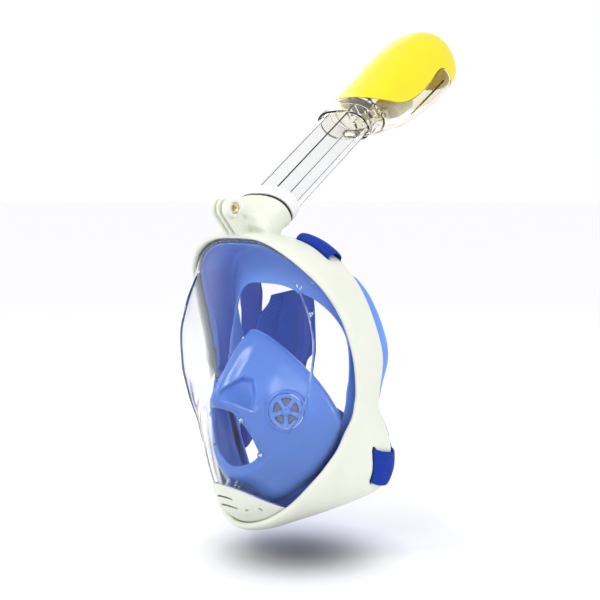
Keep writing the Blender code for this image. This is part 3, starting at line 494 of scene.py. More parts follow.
IVORY = srgb(226, 229, 216)
SILICONE = srgb(78, 124, 210)
# The face seal's own blue silicone, painted lighter than the pocket's: a painted stand-in for light shining
# through the seal from behind.
SEAL_BLUE_PAINTED_BACKLIGHT = srgb(108, 152, 236)
STRAP_BLUE = srgb(14, 56, 166)
CAP_YELLOW = srgb(240, 222, 4)
materials = {
    "ivory": plastic("ivory_plastic", IVORY, 0.34),
    "collar": plastic("collar_plastic", srgb(240, 240, 236), 0.3),
    "cap": plastic("yellow_cap", CAP_YELLOW, 0.38),
    "float": plastic("float_plastic", srgb(226, 224, 214), 0.5),
    "foam": plastic("float_foam", srgb(228, 224, 206), 0.85, 0.2),
    "seal": silicone("seal_silicone_painted_backlight", SEAL_BLUE_PAINTED_BACKLIGHT, 0.42),
    "pocket": silicone("pocket_silicone", SILICONE, 0.2, 0.6),
    "flap": silicone("valve_silicone", srgb(116, 124, 148), 0.4),
    "chin_flap": silicone("chin_valve_silicone", srgb(205, 210, 214), 0.45),
    "float_seal": silicone("float_silicone", srgb(120, 126, 138), 0.5),
    "o_ring": silicone("o_ring_rubber", srgb(26, 27, 30), 0.4),
    "lens": clear("lens_plastic", (0.985, 0.992, 0.998)),
    "tube": clear("tube_plastic", (0.982, 0.984, 0.986), 0.03),
    "housing": clear("housing_plastic", (0.985, 0.955, 0.87), 0.03),
    "valve": plastic("valve_plastic", srgb(92, 138, 226), 0.25),
    "duct": clear("duct_plastic", (0.62, 0.74, 0.95), 0.1, 0.05),
    "stud": clear("stud_plastic", (0.8, 0.88, 0.99), 0.06, 0.05),
    "strap": webbing("strap_webbing", STRAP_BLUE),
    "pad": webbing("pad_fabric", srgb(26, 84, 190), 1.3),
    "brass": metal("brass", srgb(222, 208, 160), 0.34),
    "steel": metal("pin_steel", srgb(196, 198, 202), 0.28),
}


def place(obj, body, node, material, angle=40, also=()):
    """Finishes a piece: metres, shading, material, body, and the CAD node that it stands for."""
    obj.data.transform(Matrix.Scale(MM, 4))
    obj.data.materials.clear()
    obj.data.materials.append(materials[material])
    obj.data.polygons.foreach_set("use_smooth", np.ones(len(obj.data.polygons), bool))
    obj.data.set_sharp_from_angle(angle=math.radians(angle))
    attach(obj, body)
    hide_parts(node, *also)
    return obj


# ---------------------------------------------------------------- mask


def mask_axes():
    """Per section: lens edge point, direction along the frame wall, outward direction, wall length."""
    edge, back = loop(LENS_EDGE, STATIONS), loop(FRAME_BACK, STATIONS)
    tangent = unit(np.roll(edge, -1, 0) - np.roll(edge, 1, 0))
    wall = back - edge
    along = unit(wall)
    out = unit(np.cross(along, tangent))
    out *= np.sign((out * (edge - np.array([0, -60, 10]))).sum(1))[:, None]
    return edge, along, out, np.linalg.norm(wall, axis=1)


EDGE, ALONG, OUT, LENGTH = mask_axes()


def at(w, n):
    """Loop of points at w along the wall from the lens edge and n outwards; both may differ by section."""
    w, n = np.broadcast_to(w, STATIONS)[:, None], np.broadcast_to(n, STATIONS)[:, None]
    return EDGE + ALONG * w + OUT * n


def station(row):
    """Section number of a row of the control lists, which may be fractional."""
    return row * STATIONS / (2 * (len(LENS_EDGE) - 1))


def station_row():
    """Row of the control lists that each section lies on, counted down either side."""
    i = np.arange(STATIONS)
    return np.minimum(i, STATIONS - i) / station(1)


def between(u, w, n):
    """Points in fractional sections."""
    i = np.floor(u).astype(int) % STATIONS
    j = (i + 1) % STATIONS
    f = (u - np.floor(u))[..., None]
    first = EDGE[i] + ALONG[i] * w[..., None] + OUT[i] * n[..., None]
    second = EDGE[j] + ALONG[j] * w[..., None] + OUT[j] * n[..., None]
    return first * (1 - f) + second * f


def wall_height(fraction):
    return float(np.interp(fraction, [0, 0.08, 0.35, 0.7, 0.95, 1], [4.8, 6, 5.8, 4.4, 2.6, 1.2]))


MOUNT_Y, MOUNT_Z = -91.4, 142
FINS_X = [(-7.6, -4.6), (-1.5, 1.5), (4.6, 7.6)]
NUT_X = (8.4, 12)
PIN_R = 2.6
UPPER_SLOT = (1.35, 2.75, 12, 12, 9, 1.8)
LOWER_SLOT = (10.4, 12.6, 16, 11, 6.5, 0)
SLOT_WIDTH = 3.6
STRAP_SPAN = (0.06, 0.94)


def frame_sections():
    rows = [at(w, n) for w, n in ((-3, 1.2), (-3.6, 2.8), (-2.4, 4.8))]
    rows += [at(LENGTH * f, wall_height(f)) for f in (0.08, 0.2, 0.35, 0.5, 0.7, 0.85, 0.95, 1)]
    rows += [at(LENGTH, -0.8), at(LENGTH * 0.6, 0.3), at(7, 0.3), at(-1.6, 0.3)]
    return rounded(np.stack(rows, 1), 2)


def mount_fin(x_low, x_high):
    """One ear of the camera mount: a rounded plate that stands on the frame's brow."""
    outline = [(-84.5, 121.5), (-98.4, 138.2)]
    for k in range(33):
        a = math.radians(205 - 200 * k / 32)
        outline.append((MOUNT_Y + 7.4 * math.cos(a), MOUNT_Z + 7.4 * math.sin(a)))
    outline += [(-76, 132), (-64, 129), (-62, 122)]
    return loft("fin", [[(x, y, z) for y, z in outline] for x in (x_low, x_high)])


def edge_points(slot, side, f, w, n):
    """Points near a strap slot: f runs along it, w back from the frame's rear edge, n outwards."""
    f, w, n = np.broadcast_arrays(np.asarray(f, float), w, n)
    u = station(slot[0] + (slot[1] - slot[0]) * f)
    if side < 0:
        u = STATIONS - u
    length = np.interp(u, np.arange(STATIONS + 1), np.append(LENGTH, LENGTH[0]))
    return between(u, length + w, n)


def slot_depth(slot, f):
    return slot[2] + (slot[3] - slot[2]) * f


def strap_slot(slot, side):
    f = np.linspace(0, 1, 24)
    middle = -slot_depth(slot, f)
    half = SLOT_WIDTH / 2 * np.minimum(1, 0.35 + 9 * np.minimum(f, 1 - f))
    corners = ((-1, -8), (1, -8), (1, 14), (-1, 14))
    lines = [edge_points(slot, side, f, middle + k * half, n) for k, n in corners]
    return loft("slot", np.stack(lines, 1))


def passage(extra):
    half_x, front, rear = 17.4 + extra, -70 - extra, -56.6 + extra
    outline = [(front, 106), (rear, 106), (rear, 127), (-67.2, 140.6), (front, 137)]
    return loft("passage", [[(x, y, z) for y, z in outline] for x in (-half_x, half_x)])


def under_wall():
    """Block below the brow of the frame, to trim the foot of the socket."""
    rows = []
    low, high = np.full(STATIONS, -7.0), LENGTH + 15
    corners = [at(low, 1.6), at(high, 1.2), at(high, -26), at(low, -26)]
    for k in range(-24, 25):
        rows.append([c[k % STATIONS] for c in corners])
    return loft("under", rows)


def build_frame():
    shell = ring("frame_shell", frame_sections())
    neck_rows = [(-0.6, 0, 26.9, 15.1), (-1.4, 0, 27.6, 15.8), (-3, 0, 27.6, 15.8), (-9, 0, 26.4, 15.4),
                 (-15, -1, 26.2, 16), (-22, -2, 27, 14.5), (-27, -3, 26, 11)]
    rows = spline(neck_rows, 40, False)
    add(shell, cut(loft("neck", [oval(*row) for row in rows]), under_wall()))
    for low, high in FINS_X:
        add(shell, mount_fin(low, high))
    add(shell, disc("boss", (0, MOUNT_Y, MOUNT_Z), (1, 0, 0), 6.6, 7.2, NUT_X[1]))
    for slot in (UPPER_SLOT, LOWER_SLOT):
        cut(shell, strap_slot(slot, 1), strap_slot(slot, -1))
    bore = loft("bore", [oval(s, 0, TUBE_RX + 0.35, TUBE_RN + 0.35) for s in (1, -SPIGOT - 0.6)])
    cut(shell, bore, passage(0))
    moulded(shell, 0.75, 4)
    centre = (0, MOUNT_Y, MOUNT_Z)
    cut(shell, disc("pin_hole", centre, (1, 0, 0), PIN_R, -20, 20))
    cut(shell, disc("nut_recess", centre, (1, 0, 0), 4.8, NUT_X[0] - 0.3, 20, 6))
    place(shell, "mask", "frame", "ivory", 50)


def smooth_profile(z):
    curve = spline([(y, zz, 0) for y, zz in LENS_PROFILE], 400, False)
    order = np.argsort(curve[:, 1])
    return np.interp(z, curve[order, 1], curve[order, 0])


def lens_rows():
    """Loops of the lens's outer face, from the flange's end to the centre of the front."""
    crease = loop(LENS_CREASE, STATIONS)
    rows = [at(LENS_FLANGE * f, 0) for f in (1, 0.75, 0.5, 0.25, 0)]
    for f in np.append(np.linspace(0, 0.94, 14)[1:], [0.975, 1]):
        rows.append(EDGE * (1 - f) + crease * f + OUT * 2.2 * math.sin(math.pi * f))
    base = smooth_profile(crease[:, 2])
    for r in np.concatenate([[0.99, 0.965], np.linspace(0.94, 0.04, 26)]):
        row = crease.copy()
        row[:, 0] = crease[:, 0] * r
        row[:, 2] = LENS_CENTRE_Z + (crease[:, 2] - LENS_CENTRE_Z) * r
        row[:, 1] = smooth_profile(row[:, 2]) + (crease[:, 1] - base) * (1 - (1 - r * r) ** 1.4)
        rows.append(row)
    centre = np.array([0, smooth_profile(np.array([LENS_CENTRE_Z]))[0], LENS_CENTRE_Z])
    return np.array(rows), centre


FLANGE_ROWS = 4
CREASE_ROW = FLANGE_ROWS + 15
CREASE_RIB = 0.6  # height of the rib that stiffens each side of the lens


def grid_normals(grid, centre):
    around = np.roll(grid, -1, 1) - np.roll(grid, 1, 1)
    inward = np.empty_like(grid)
    inward[1:-1] = unit(grid[2:] - grid[1:-1]) + unit(grid[1:-1] - grid[:-2])
    inward[0] = grid[1] - grid[0]
    inward[-1] = centre - grid[-2]
    normals = unit(np.cross(around, inward))
    return -normals if (normals[20] @ np.array([0, -1, 0])).mean() < 0 else normals


def shell(name, outside, inside):
    """Closed skin between an outer and an inner grid, each rows and a centre point."""
    rows_out, centre_out = outside
    rows_in, centre_in = inside
    count, columns = len(rows_out), len(rows_out[0])
    points = np.concatenate([rows_out.reshape(-1, 3), [centre_out], rows_in.reshape(-1, 3), [centre_in]])
    start = count * columns + 1
    faces = strip_faces(count, columns, False, True)
    faces += [(start + a, start + d, start + c, start + b) for a, b, c, d in faces]
    last = (count - 1) * columns
    for c in range(columns):
        d = (c + 1) % columns
        faces.append((last + c, last + d, start - 1))
        faces.append((start + last + d, start + last + c, len(points) - 1))
        faces.append((c, start + c, start + d, d))
    return solid(name, points, faces)


def lens_like(name, outward, inward):
    rows, centre = lens_rows()
    normals = grid_normals(rows, centre)
    front = np.array([0, -1, 0])
    lift = np.clip((np.arange(len(rows)) - FLANGE_ROWS) / 9, 0, 1)[:, None, None]
    out_rows = rows + normals * outward * lift
    row = station_row()
    rib = CREASE_RIB * np.clip((row - 3) / 1.5, 0, 1) * np.clip((10.5 - row) / 2, 0, 1)
    out_rows[CREASE_ROW] += normals[CREASE_ROW] * rib[:, None]
    in_rows = rows - normals * inward
    for k in range(FLANGE_ROWS):
        in_rows[k] = at(LENS_FLANGE * (1 - 0.25 * k), -LENS_T)
    return shell(name, (out_rows, centre + front * outward), (in_rows, centre - front * inward))


def chin_outline(offset):
    """Outline in X and Z of the notch at the lens's chin; offset moves it outwards."""
    arch = []
    for x in np.linspace(-40, 40, 49):
        arch.append((x * (1 + offset / 40), -66 + offset - 21 * (abs(x) / 40) ** 1.6))
    return arch + [(44 + offset, -130), (-44 - offset, -130)]


def build_lens():
    lens = lens_like("lens_window", 0, LENS_T)
    cut(lens, prism("notch", chin_outline(0), -140, -20))
    place(lens, "mask", "lens", "lens", 25)


def slot_cutter(z, half, rise):
    """Curved slot through the chin cover."""
    f = np.linspace(-1, 1, 25)
    width = 0.9 * np.sqrt(np.clip(1 - f ** 6, 0.02, 1))
    upper = np.stack([half * f, z + width - rise * f * f], 1)
    lower = np.stack([half * f, z - width - rise * f * f], 1)[::-1]
    return prism("slot", np.concatenate([upper, lower]).tolist(), -130, -80)


def build_chin_cover():
    cover = lens_like("chin_cover_plate", 1.4, LENS_T)
    keep(cover, prism("notch", chin_outline(-0.4), -140, -20))
    cut(cover, slot_cutter(-77, 9, 1.5), slot_cutter(-84.5, 10, 2))
    for side in (-1, 1):
        cut(cover, disc("vent", (side * 15.3, -84, -87), (side * 0.2, -0.8, -0.6), 1.3, -12, 12, 32))
        cut(cover, wedge("crescent", (side * 22.3, -79, -87), (side * 0.2, -0.8, -0.6), 1.6, 3.2,
                         math.pi / 2 - side * 1.25, 1.1, -12, 12))
    moulded(cover, 0.4, 3)
    place(cover, "mask", "chin_cover", "ivory", 50)


def beside_slot():
    """Per section, 1 where it crosses a strap slot, falling to 0 on either side."""
    row = station_row()
    inside = np.maximum(*[np.minimum(row - slot[0], slot[1] - row) for slot in (UPPER_SLOT, LOWER_SLOT)])
    return np.clip((inside + 0.65) / 0.4, 0, 1)


def build_face_seal():
    opening = loop(FACE_OPENING, STATIONS)
    values = [(r, 0, 0) for r in SEAL_REACH]
    beyond = spline(values + values[-2:0:-1], STATIONS)[:, 0]
    drop = STRAP_RECESS * beside_slot()
    outer = [(3.4, -2.7), (LENS_FLANGE + 0.4, -2.7), (LENS_FLANGE + 0.4, -0.1),
             (LENGTH * 0.6, -0.5 - drop), (LENGTH - 1, -1.6 - drop), (LENGTH + 0.5, -1.5 - drop),
             (LENGTH + beyond * 0.6 + 0.4, -0.8 - drop)]
    points = [at(w, n) for w, n in outer]
    heel = at(LENGTH + beyond, -2.4 - drop)
    across = opening - heel
    face = unit(np.cross(np.cross(ALONG, OUT), across))
    face *= np.sign((face * ALONG).sum(1))[:, None]
    points += [heel, heel + across * 0.3 + face * 1.6, heel + across * 0.65 + face * 1.2]
    lip, inwards = opening, unit(across)
    points += [lip - inwards * 1.6 + face * 0.5, lip + face * 0.7, lip + inwards * 0.6 - face * 0.5,
               lip - face * 1.7, lip - inwards * 1.6 - face * 1.2]
    points += [heel + across * 0.65 - face * 0.6, heel + across * 0.3 - face * 0.2]
    inner = [(LENGTH + beyond * 0.5 - 1.2, -3.5 - drop), (LENGTH * 0.6, -2.1 - drop),
             (LENS_FLANGE + 2.2, -1.9), (LENS_FLANGE + 1.4, -4.5), (3.4, -4.5)]
    points += [at(w, n) for w, n in inner]
    seal = ring("face_skirt", rounded(np.stack(points, 1), 2))
    cut(seal, passage(0.8))
    place(seal, "mask", "face_seal", "seal", 60)


# ---------------------------------------------------------------- nose pocket


def pocket_grid(sections, count):
    loops = np.array([loop(half, sections) for half in POCKET])
    return spline(loops, count, False)


def pocket_normals(grid):
    around = np.roll(grid, -1, 1) - np.roll(grid, 1, 1)
    normals = unit(np.cross(around, np.gradient(grid, axis=0)))
    return -normals if normals[len(grid) // 4, :, 1].mean() > 0 else normals


def stud_places():
    """Name, centre and outward axis of each stud."""
    grid = pocket_grid(POCKET_COARSE, 11)
    normals = pocket_normals(grid)
    places = []
    for label, spot in zip(("upper", "lower"), STUDS_AT):
        k = np.linalg.norm(grid - np.array(spot), axis=2).argmin()
        row, column = divmod(int(k), grid.shape[1])
        centre, axis = grid[row, column], normals[row, column]
        places.append((f"pocket_stud_{label}_left", centre, axis))
        places.append((f"pocket_stud_{label}_right", mirror(centre), mirror(axis)))
    return places


RECESS = [(42, 4), (32, 12), (31, 17), (43, 31), (49, 6)]  # row and column of its corners on the pocket
RECESS_DEPTH = 5


def recess_depth(rows, columns):
    """Depth of the moulded recess on each side of the nose at each point of the pocket's grid."""
    row, column = np.meshgrid(np.arange(rows), np.arange(columns), indexing="ij")
    column = np.minimum(column, columns - column)
    inside = np.full(row.shape, 99.0)
    for (r0, c0), (r1, c1) in zip(RECESS, RECESS[1:] + RECESS[:1]):
        dr, dc = r1 - r0, c1 - c0
        inside = np.minimum(inside, ((row - r0) * dc - (column - c0) * dr) / math.hypot(dr, dc))
    slope = np.clip((49 - row) / 17, 0.25, 1)
    return RECESS_DEPTH * slope * np.clip(inside / 1.2, 0, 1)


def build_pocket():
    grid = pocket_grid(POCKET_FINE, 61)
    normals = pocket_normals(grid)
    grid = grid - normals * recess_depth(61, POCKET_FINE)[..., None]
    edge = np.minimum(np.arange(61), 60 - np.arange(61))
    half = np.interp(edge, [0, 1, 2, 4, 6, 8], [0.45, 0.95, 1.2, 1.2, 0.95, 0.9])[:, None, None]
    rows = np.concatenate([grid + normals * half, (grid - normals * half)[::-1]])
    pocket = ring("nose_cup", rows)
    for side in (1, -1):
        centre = (side * VALVE_AT[0], VALVE_AT[1], VALVE_AT[2])
        axis = (side * VALVE_AXIS[0], VALVE_AXIS[1], VALVE_AXIS[2])
        cut(pocket, disc("port", centre, axis, VALVE_R + 1.5, -8, 9))
        rim = [(VALVE_R + 3.4, -2.2), (VALVE_R + 3, 0.2), (VALVE_R + 2.2, 0.8), (VALVE_R + 1.2, 1),
               (VALVE_R + 0.4, 0.9), (VALVE_R + 0.2, 0.6), (VALVE_R + 0.2, -2.4)]
        add(pocket, turned_ring("rim", centre, axis, rim))
    for _, centre, axis in stud_places():
        cut(pocket, disc("stud_hole", centre, axis, 1.35, -5, 6, 24))
    moulded(pocket, 0.55, 3)
    place(pocket, "mask", "nose_pocket", "pocket", 70)


def build_studs():
    """Buttons that pin the front edge of the pocket: a domed head, a neck through the skin and a barb."""
    profile = [(1.2, -3.3), (1.7, -3), (1.7, -2.3), (1, -2.1), (1, 1.7), (1.9, 1.8), (2.1, 2.1), (2, 2.5),
               (1.6, 2.8), (1, 2.95), (0.4, 3)]
    for name, centre, axis in stud_places():
        stud = turning(name.replace("stud", "button"), centre, axis, profile, 40)
        place(stud, "mask", name, "stud", 60)


def build_pocket_valves():
    for word, side in (("left", 1), ("right", -1)):
        centre = (side * VALVE_AT[0], VALVE_AT[1], VALVE_AT[2])
        axis = (side * VALVE_AXIS[0], VALVE_AXIS[1], VALVE_AXIS[2])
        plate = [(VALVE_R - 0.5, -0.9), (VALVE_R - 0.1, -0.5), (VALVE_R - 0.1, 0.8), (VALVE_R - 0.5, 1.1),
                 (VALVE_R - 1.4, 1.1), (VALVE_R - 1.8, 0.7), (4.2, 0.7), (3.8, 0.9)]
        seat = turning(f"pocket_valve_grille_{word}", centre, axis, plate)
        for k in range(5):
            middle = math.pi / 2 + 2 * math.pi * k / 5
            cut(seat, wedge("window", centre, axis, 3.6, 10, middle, 0.46, -3, 3))
        hub = [(2.6, -5.6), (3.1, -5.2), (3.1, -4.6), (2.4, -4.4), (2.4, -0.9), (3.4, -0.4), (3.4, 1.2),
               (3, 1.7), (1.8, 2), (1.4, 1.5), (0.5, 1.4)]
        add(seat, turning("hub", centre, axis, hub))
        moulded(seat, 0.22, 2)
        place(seat, "mask", f"pocket_valve_seat_{word}", "valve", 50)
        rings = [(11.4, -1.7), (11.2, -1.4), (9, -1.3), (8.6, -1.15), (8.2, -1.3), (4, -1.2), (2.7, -1.1),
                 (2.6, -1.5), (2.7, -2.1), (6, -2.2), (11, -2.1)]
        flap = turned_ring(f"pocket_valve_disc_{word}", centre, axis, rings)
        place(flap, f"pocket_flap_{word}", f"pocket_valve_flap_{word}", "flap", 60)


DRAIN_AT = (0, -82.5, -84)
DRAIN_AXIS = (0, -0.74, -0.67)


def build_drain():
    wall = [(11.8, -5.8), (11.8, -1.2), (11.6, -1), (10.6, -1), (10.4, -1.2), (10.4, -5.9), (10.6, -6),
            (11.6, -6)]
    seat = turned_ring("chin_valve_body", DRAIN_AT, DRAIN_AXIS, wall)
    plate = disc("plate", DRAIN_AT, DRAIN_AXIS, 11.1, -5.4, -3.6)
    for k in range(4):
        cut(plate, wedge("window", DRAIN_AT, DRAIN_AXIS, 2.6, 8.6, math.pi * (0.25 + 0.5 * k), 0.6, -9, 3))
    post = [(1.4, -4.6), (1.4, -0.1), (2, 0.1), (2.1, 0.5), (1.8, 0.9), (0.8, 1)]
    add(seat, plate, turning("post", DRAIN_AT, DRAIN_AXIS, post, 40))
    moulded(seat, 0.22, 2)
    place(seat, "mask", "chin_valve_seat", "valve", 50)
    rings = [(9.8, -2.9), (9.6, -2.55), (7, -2.5), (6.6, -2.35), (6.2, -2.5), (1.8, -2.5), (1.7, -2.9),
             (1.8, -3.3), (6, -3.3), (9.4, -3.2)]
    wall = [(12.6, -5), (13.4, -9), (14.4, -14), (15, -15.2), (15.7, -15), (15.5, -13.8), (14.4, -9),
            (13.6, -4.8)]
    duct = turned_ring("chin_valve_duct", DRAIN_AT, DRAIN_AXIS, wall)
    place(duct, "mask", "chin_valve_seat", "duct", 60)
    flap = turned_ring("chin_valve_disc", DRAIN_AT, DRAIN_AXIS, rings)
    place(flap, "chin_flap", "chin_valve_flap", "chin_flap", 60)


# ---------------------------------------------------------------- camera mount and strap


def build_nut():
    centre = (0, MOUNT_Y, MOUNT_Z)
    low, high = NUT_X[0], NUT_X[1] - 0.2
    nut = disc("captive_nut", centre, (1, 0, 0), 4.5, low, high, 6)
    chamfer = [(3.9, low - 0.01), (4.6, low + 0.35), (4.6, high - 0.35), (3.9, high + 0.01)]
    keep(nut, turning("chamfer", centre, (1, 0, 0), chamfer))
    profile = [(3.1, low - 1), (3.1, low), (2.45, low + 0.4)]
    for x in np.arange(low + 0.4, high - 0.6, 0.7):
        profile += [(2.2, x + 0.15), (2.2, x + 0.3), (2.6, x + 0.55)]
    profile += [(2.45, high - 0.4), (3.1, high), (3.1, high + 1)]
    cut(nut, turning("thread", centre, (1, 0, 0), profile))
    place(nut, "mask", "camera_mount_nut", "brass", 30)


STRAP_T = 1.3
ARM_T = 2.2
STRAP_COLUMNS = 33
STRAP_PATHS = {
    "strap_arm_upper_left": (
        UPPER_SLOT, 1,
        [(40, -17, 96), (22, -4, 94), (5, 6, 92), (-12, 13, 89)],
        [(8, 5, -11), (5, 5, -12), (3, 3, -13), (2, 1, -14)]),
    "strap_arm_upper_right": (
        UPPER_SLOT, -1,
        [(-58, -10, 99), (-70, 6, 93), (-84, 16, 80), (-93, 21, 62), (-96, 24, 44), (-97, 25, 26)],
        [(-8, 4, -13), (-1, 4, -14), (7, 3, -12), (12, 2, -7), (13, 1, -2), (13, 0, 0)]),
    "strap_arm_lower_left": (
        LOWER_SLOT, 1,
        [(73, 10, -49), (54, 18, -48), (28, 22, -44), (4, 26, -38), (-18, 28, -30), (-36, 28, -20)],
        [(-3, 0, -11), (-5, 0, -12), (-6, 0, -13), (-7, 0, -13), (-8, 0, -12), (-8, 0, -11)]),
    "strap_arm_lower_right": (
        LOWER_SLOT, -1,
        [(-88, 17, -43), (-85, 29, -40), (-75, 36, -30), (-62, 38, -20)],
        [(3, 2, -15), (3, 0, -17), (5, 0, -17), (6, 0, -15)]),
}
PANEL = [
    [(-67, 21, 66), (-50, 29, 71), (-15, 16, 78)],
    [(-71, 21, 58), (-48, 31, 61), (-11, 15, 64)],
    [(-83, 19, 44), (-48, 32, 43), (-10, 15, 43)],
    [(-88, 21, 26), (-48, 31, 24), (-12, 17, 24)],
    [(-76, 25, 12), (-48, 30, 10), (-26, 23, 12)],
    [(-66, 27, -6), (-50, 29, -8), (-36, 27, -7)],
]


def loop_path(depth, height):
    """Closed path of a strap round the bar between its slot and the frame's rear edge, as w and n."""
    points = [(-depth, -2), (-depth, 2.2), (-depth + 0.2, height * 0.66), (-depth * 0.72, height * 0.96),
              (-depth * 0.4, height * 0.92), (0, height * 0.56), (2, 1), (1.9, -1.4), (0, -2.3),
              (-depth * 0.5, -2.3)]
    return spline([(w, n, 0) for w, n in points], 120)[:, :2]


def band_profile(thickness):
    """Half thickness across a band from edge to edge: rounded selvedges with a sewn line beside each."""
    x = np.abs(np.linspace(-1, 1, STRAP_COLUMNS))
    half = thickness / 2 * np.clip(1 - x ** 14, 0.12, 1)
    return half - 0.16 * np.exp(-((x - 0.86) / 0.03) ** 2)


def band_sections(grid, thickness):
    """Closed sections of a band about a grid of points, along it and across it."""
    along = np.gradient(grid, axis=0)
    normals = unit(np.cross(along, np.gradient(grid, axis=1)))
    lift = normals * band_profile(thickness)[None, :, None]
    return np.concatenate([grid + lift, (grid - lift)[:, ::-1]], 1)


def strap_loop(name, slot, side):
    """Band threaded through the slot and round the frame's rear edge."""
    f = np.linspace(STRAP_SPAN[0], STRAP_SPAN[1], STRAP_COLUMNS)
    paths = np.array([loop_path(slot_depth(slot, k), slot[4]) for k in f])
    tangent = unit(np.roll(paths, -1, 1) - np.roll(paths, 1, 1))
    normal = np.stack([-tangent[..., 1], tangent[..., 0]], -1)
    half = band_profile(STRAP_T)[:, None, None]
    faces = []
    for k in (1, -1):
        path = paths + k * normal * half
        faces.append(edge_points(slot, side, f[:, None], path[..., 0], path[..., 1]))
    return ring(name, np.concatenate([faces[0], faces[1][::-1]], 0).transpose(1, 0, 2))


def build_strap_arm(node, slot, side, points, widths):
    """Fabric arm: a loop round the frame's edge, run on into the strip that goes to the back pad."""
    rows = []
    extra = slot[5]
    span = (0.06, 0.5, 0.94)
    for w, n in ((2, -0.6), (3.6 + extra / 2, -2.8), (4.4 + extra, -6), (4.6 + extra, -11)):
        rows.append([edge_points(slot, side, f, w, n) for f in span])
    for centre, half in zip(points, widths):
        rows.append([np.array(centre) + np.array(half) * k for k in (-1.0, 0, 1)])
    rows = spline(np.array(rows, float), 10 * len(rows) - 9, False)
    grid = spline(rows.transpose(1, 0, 2), STRAP_COLUMNS, False).transpose(1, 0, 2)
    strip = loft("strip", band_sections(grid, ARM_T))
    arm = add(strap_loop(node.replace("arm", "webbing"), slot, side), strip)
    place(arm, "mask", node, "strap", 55)


def build_pad():
    """Soft back pad: crowned foam under fabric, two sewn channels and a bound edge."""
    rows = np.array([spline(row, 61, False) for row in PANEL])
    grid = spline(rows, 81, False)
    normals = unit(np.cross(np.gradient(grid, axis=0), np.gradient(grid, axis=1)))
    u = np.linspace(-1, 1, 81)[:, None]
    k = np.linspace(-1, 1, 61)[None, :]
    rim = np.maximum(np.abs(u), np.abs(k))
    crown = 0.7 + 1.5 * np.sqrt(np.clip((1 - (u / 0.93) ** 6) * (1 - (k / 0.93) ** 6), 0, 1))
    crown = np.where(rim > 0.93, 1.25 * np.sqrt(np.clip(1 - ((rim - 0.965) / 0.036) ** 2, 0.05, 1)), crown)
    for line in (-0.42, 0.42):
        crown = crown - 1.1 * np.exp(-((k - line) / 0.035) ** 2) * (rim < 0.93)
    lift = normals * crown[..., None]
    columns, count = 61, 81
    points = np.concatenate([(grid + lift).reshape(-1, 3), (grid - lift).reshape(-1, 3)])
    total = count * columns
    faces = strip_faces(count, columns, False, False)
    faces += [(a + total, d + total, c + total, b + total) for a, b, c, d in faces]
    border = list(range(columns)) + [r * columns + columns - 1 for r in range(1, count)]
    border += [(count - 1) * columns + c for c in range(columns - 2, -1, -1)]
    border += [r * columns for r in range(count - 2, 0, -1)]
    for a, b in zip(border, border[1:] + border[:1]):
        faces.append((a, b, b + total, a + total))
    pad = place(solid("back_pad", points, faces), "mask", "strap_back_pad", "pad", 60)


# ---------------------------------------------------------------- snorkel


def build_tube():
    rows = [(-SPIGOT, -0.5), (-SPIGOT + 0.4, -0.1), (-SPIGOT + 1, 0), (0, 0), (60, 0), (TUBE_TOP - 0.6, 0),
            (TUBE_TOP, -0.4)]
    body = loft("breathing_tube", [oval(s, 0, TUBE_RX + d, TUBE_RN + d) for s, d in rows])
    inner_x, inner_n = TUBE_RX - TUBE_T, TUBE_RN - TUBE_T
    wall_x, wall = 9.5, 0.8
    core = loft("core", [oval(s, 0, inner_x, inner_n) for s in (-SPIGOT - 1, TUBE_TOP + 1)])
    for side in (-1, 1):
        low, high = sorted((side * (wall_x - wall), side * (wall_x + wall)))
        plate = [[snorkel_point(x, n, s) for x, n in ((low, -30), (high, -30), (high, 30), (low, 30))]
                 for s in (-SPIGOT - 2, TUBE_TOP + 2)]
        cut(core, loft("divider", plate))
    place(cut(body, core), "snorkel", "snorkel_tube", "tube", 25)


def build_collar():
    inner = (TUBE_RX + 0.3, TUBE_RN + 0.3)
    profile = [(1.6, 26.9, 15.1), (1.8, 27.3, 15.5), (2.6, 27.8, 16), (4.4, 27.7, 15.9), (4.7, 27.3, 15.5),
               (5.1, 27.3, 15.5), (5.4, 27.6, 15.8), (7.6, 27.35, 15.6), (7.9, 27, 15.3), (8.3, 27, 15.3),
               (8.6, 27.3, 15.55), (11, 27, 15.4), (11.6, 26.8, 15.2), (12, 26.2, 14.8),
               (12, *inner), (1.6, *inner)]
    collar = ring("tube_collar", [oval(s, 0, rx, rn) for s, rx, rn in profile])
    place(collar, "snorkel", "snorkel_collar", "collar", 40)
    rows = []
    for a in np.linspace(0, 2 * math.pi, 20, endpoint=False):
        rx, rn = TUBE_RX + 1.3 + 1.05 * math.cos(a), TUBE_RN + 1.15 + 0.9 * math.cos(a)
        rows.append(oval(0.5 + 0.8 * math.sin(a), 0, rx, rn))
    place(ring("o_ring", rows), "snorkel", "socket_o_ring", "o_ring", 60)


def dry_top_shell(name):
    body = loft(name, [oval(*row) for row in spline(DRY_TOP, 78, False)])
    inner = [oval(s, 0, TUBE_RX + 0.3, TUBE_RN + 0.3) for s in (110, TUBE_TOP + 0.4)]
    for s, centre, rx, rn in spline(DRY_TOP[3:], 60, False):
        end = DRY_TOP_T * min(max((s - 226) / 8, 0), 1)
        inner.append(oval(s - end, centre, rx - DRY_TOP_T, rn - DRY_TOP_T))
    return cut(body, loft("hollow", inner))


def cap_outline(offset):
    """Outline in S and N of the region of the cap; a positive offset shrinks it."""
    curve = spline(CAP_LINE, 113, False)
    d = unit(np.gradient(curve, axis=0))
    line = np.stack([curve[:, 0] - d[:, 1] * offset, curve[:, 1] + d[:, 0] * offset], 1)
    return line.tolist() + [(300, -60), (300, 60), (121, 60)]


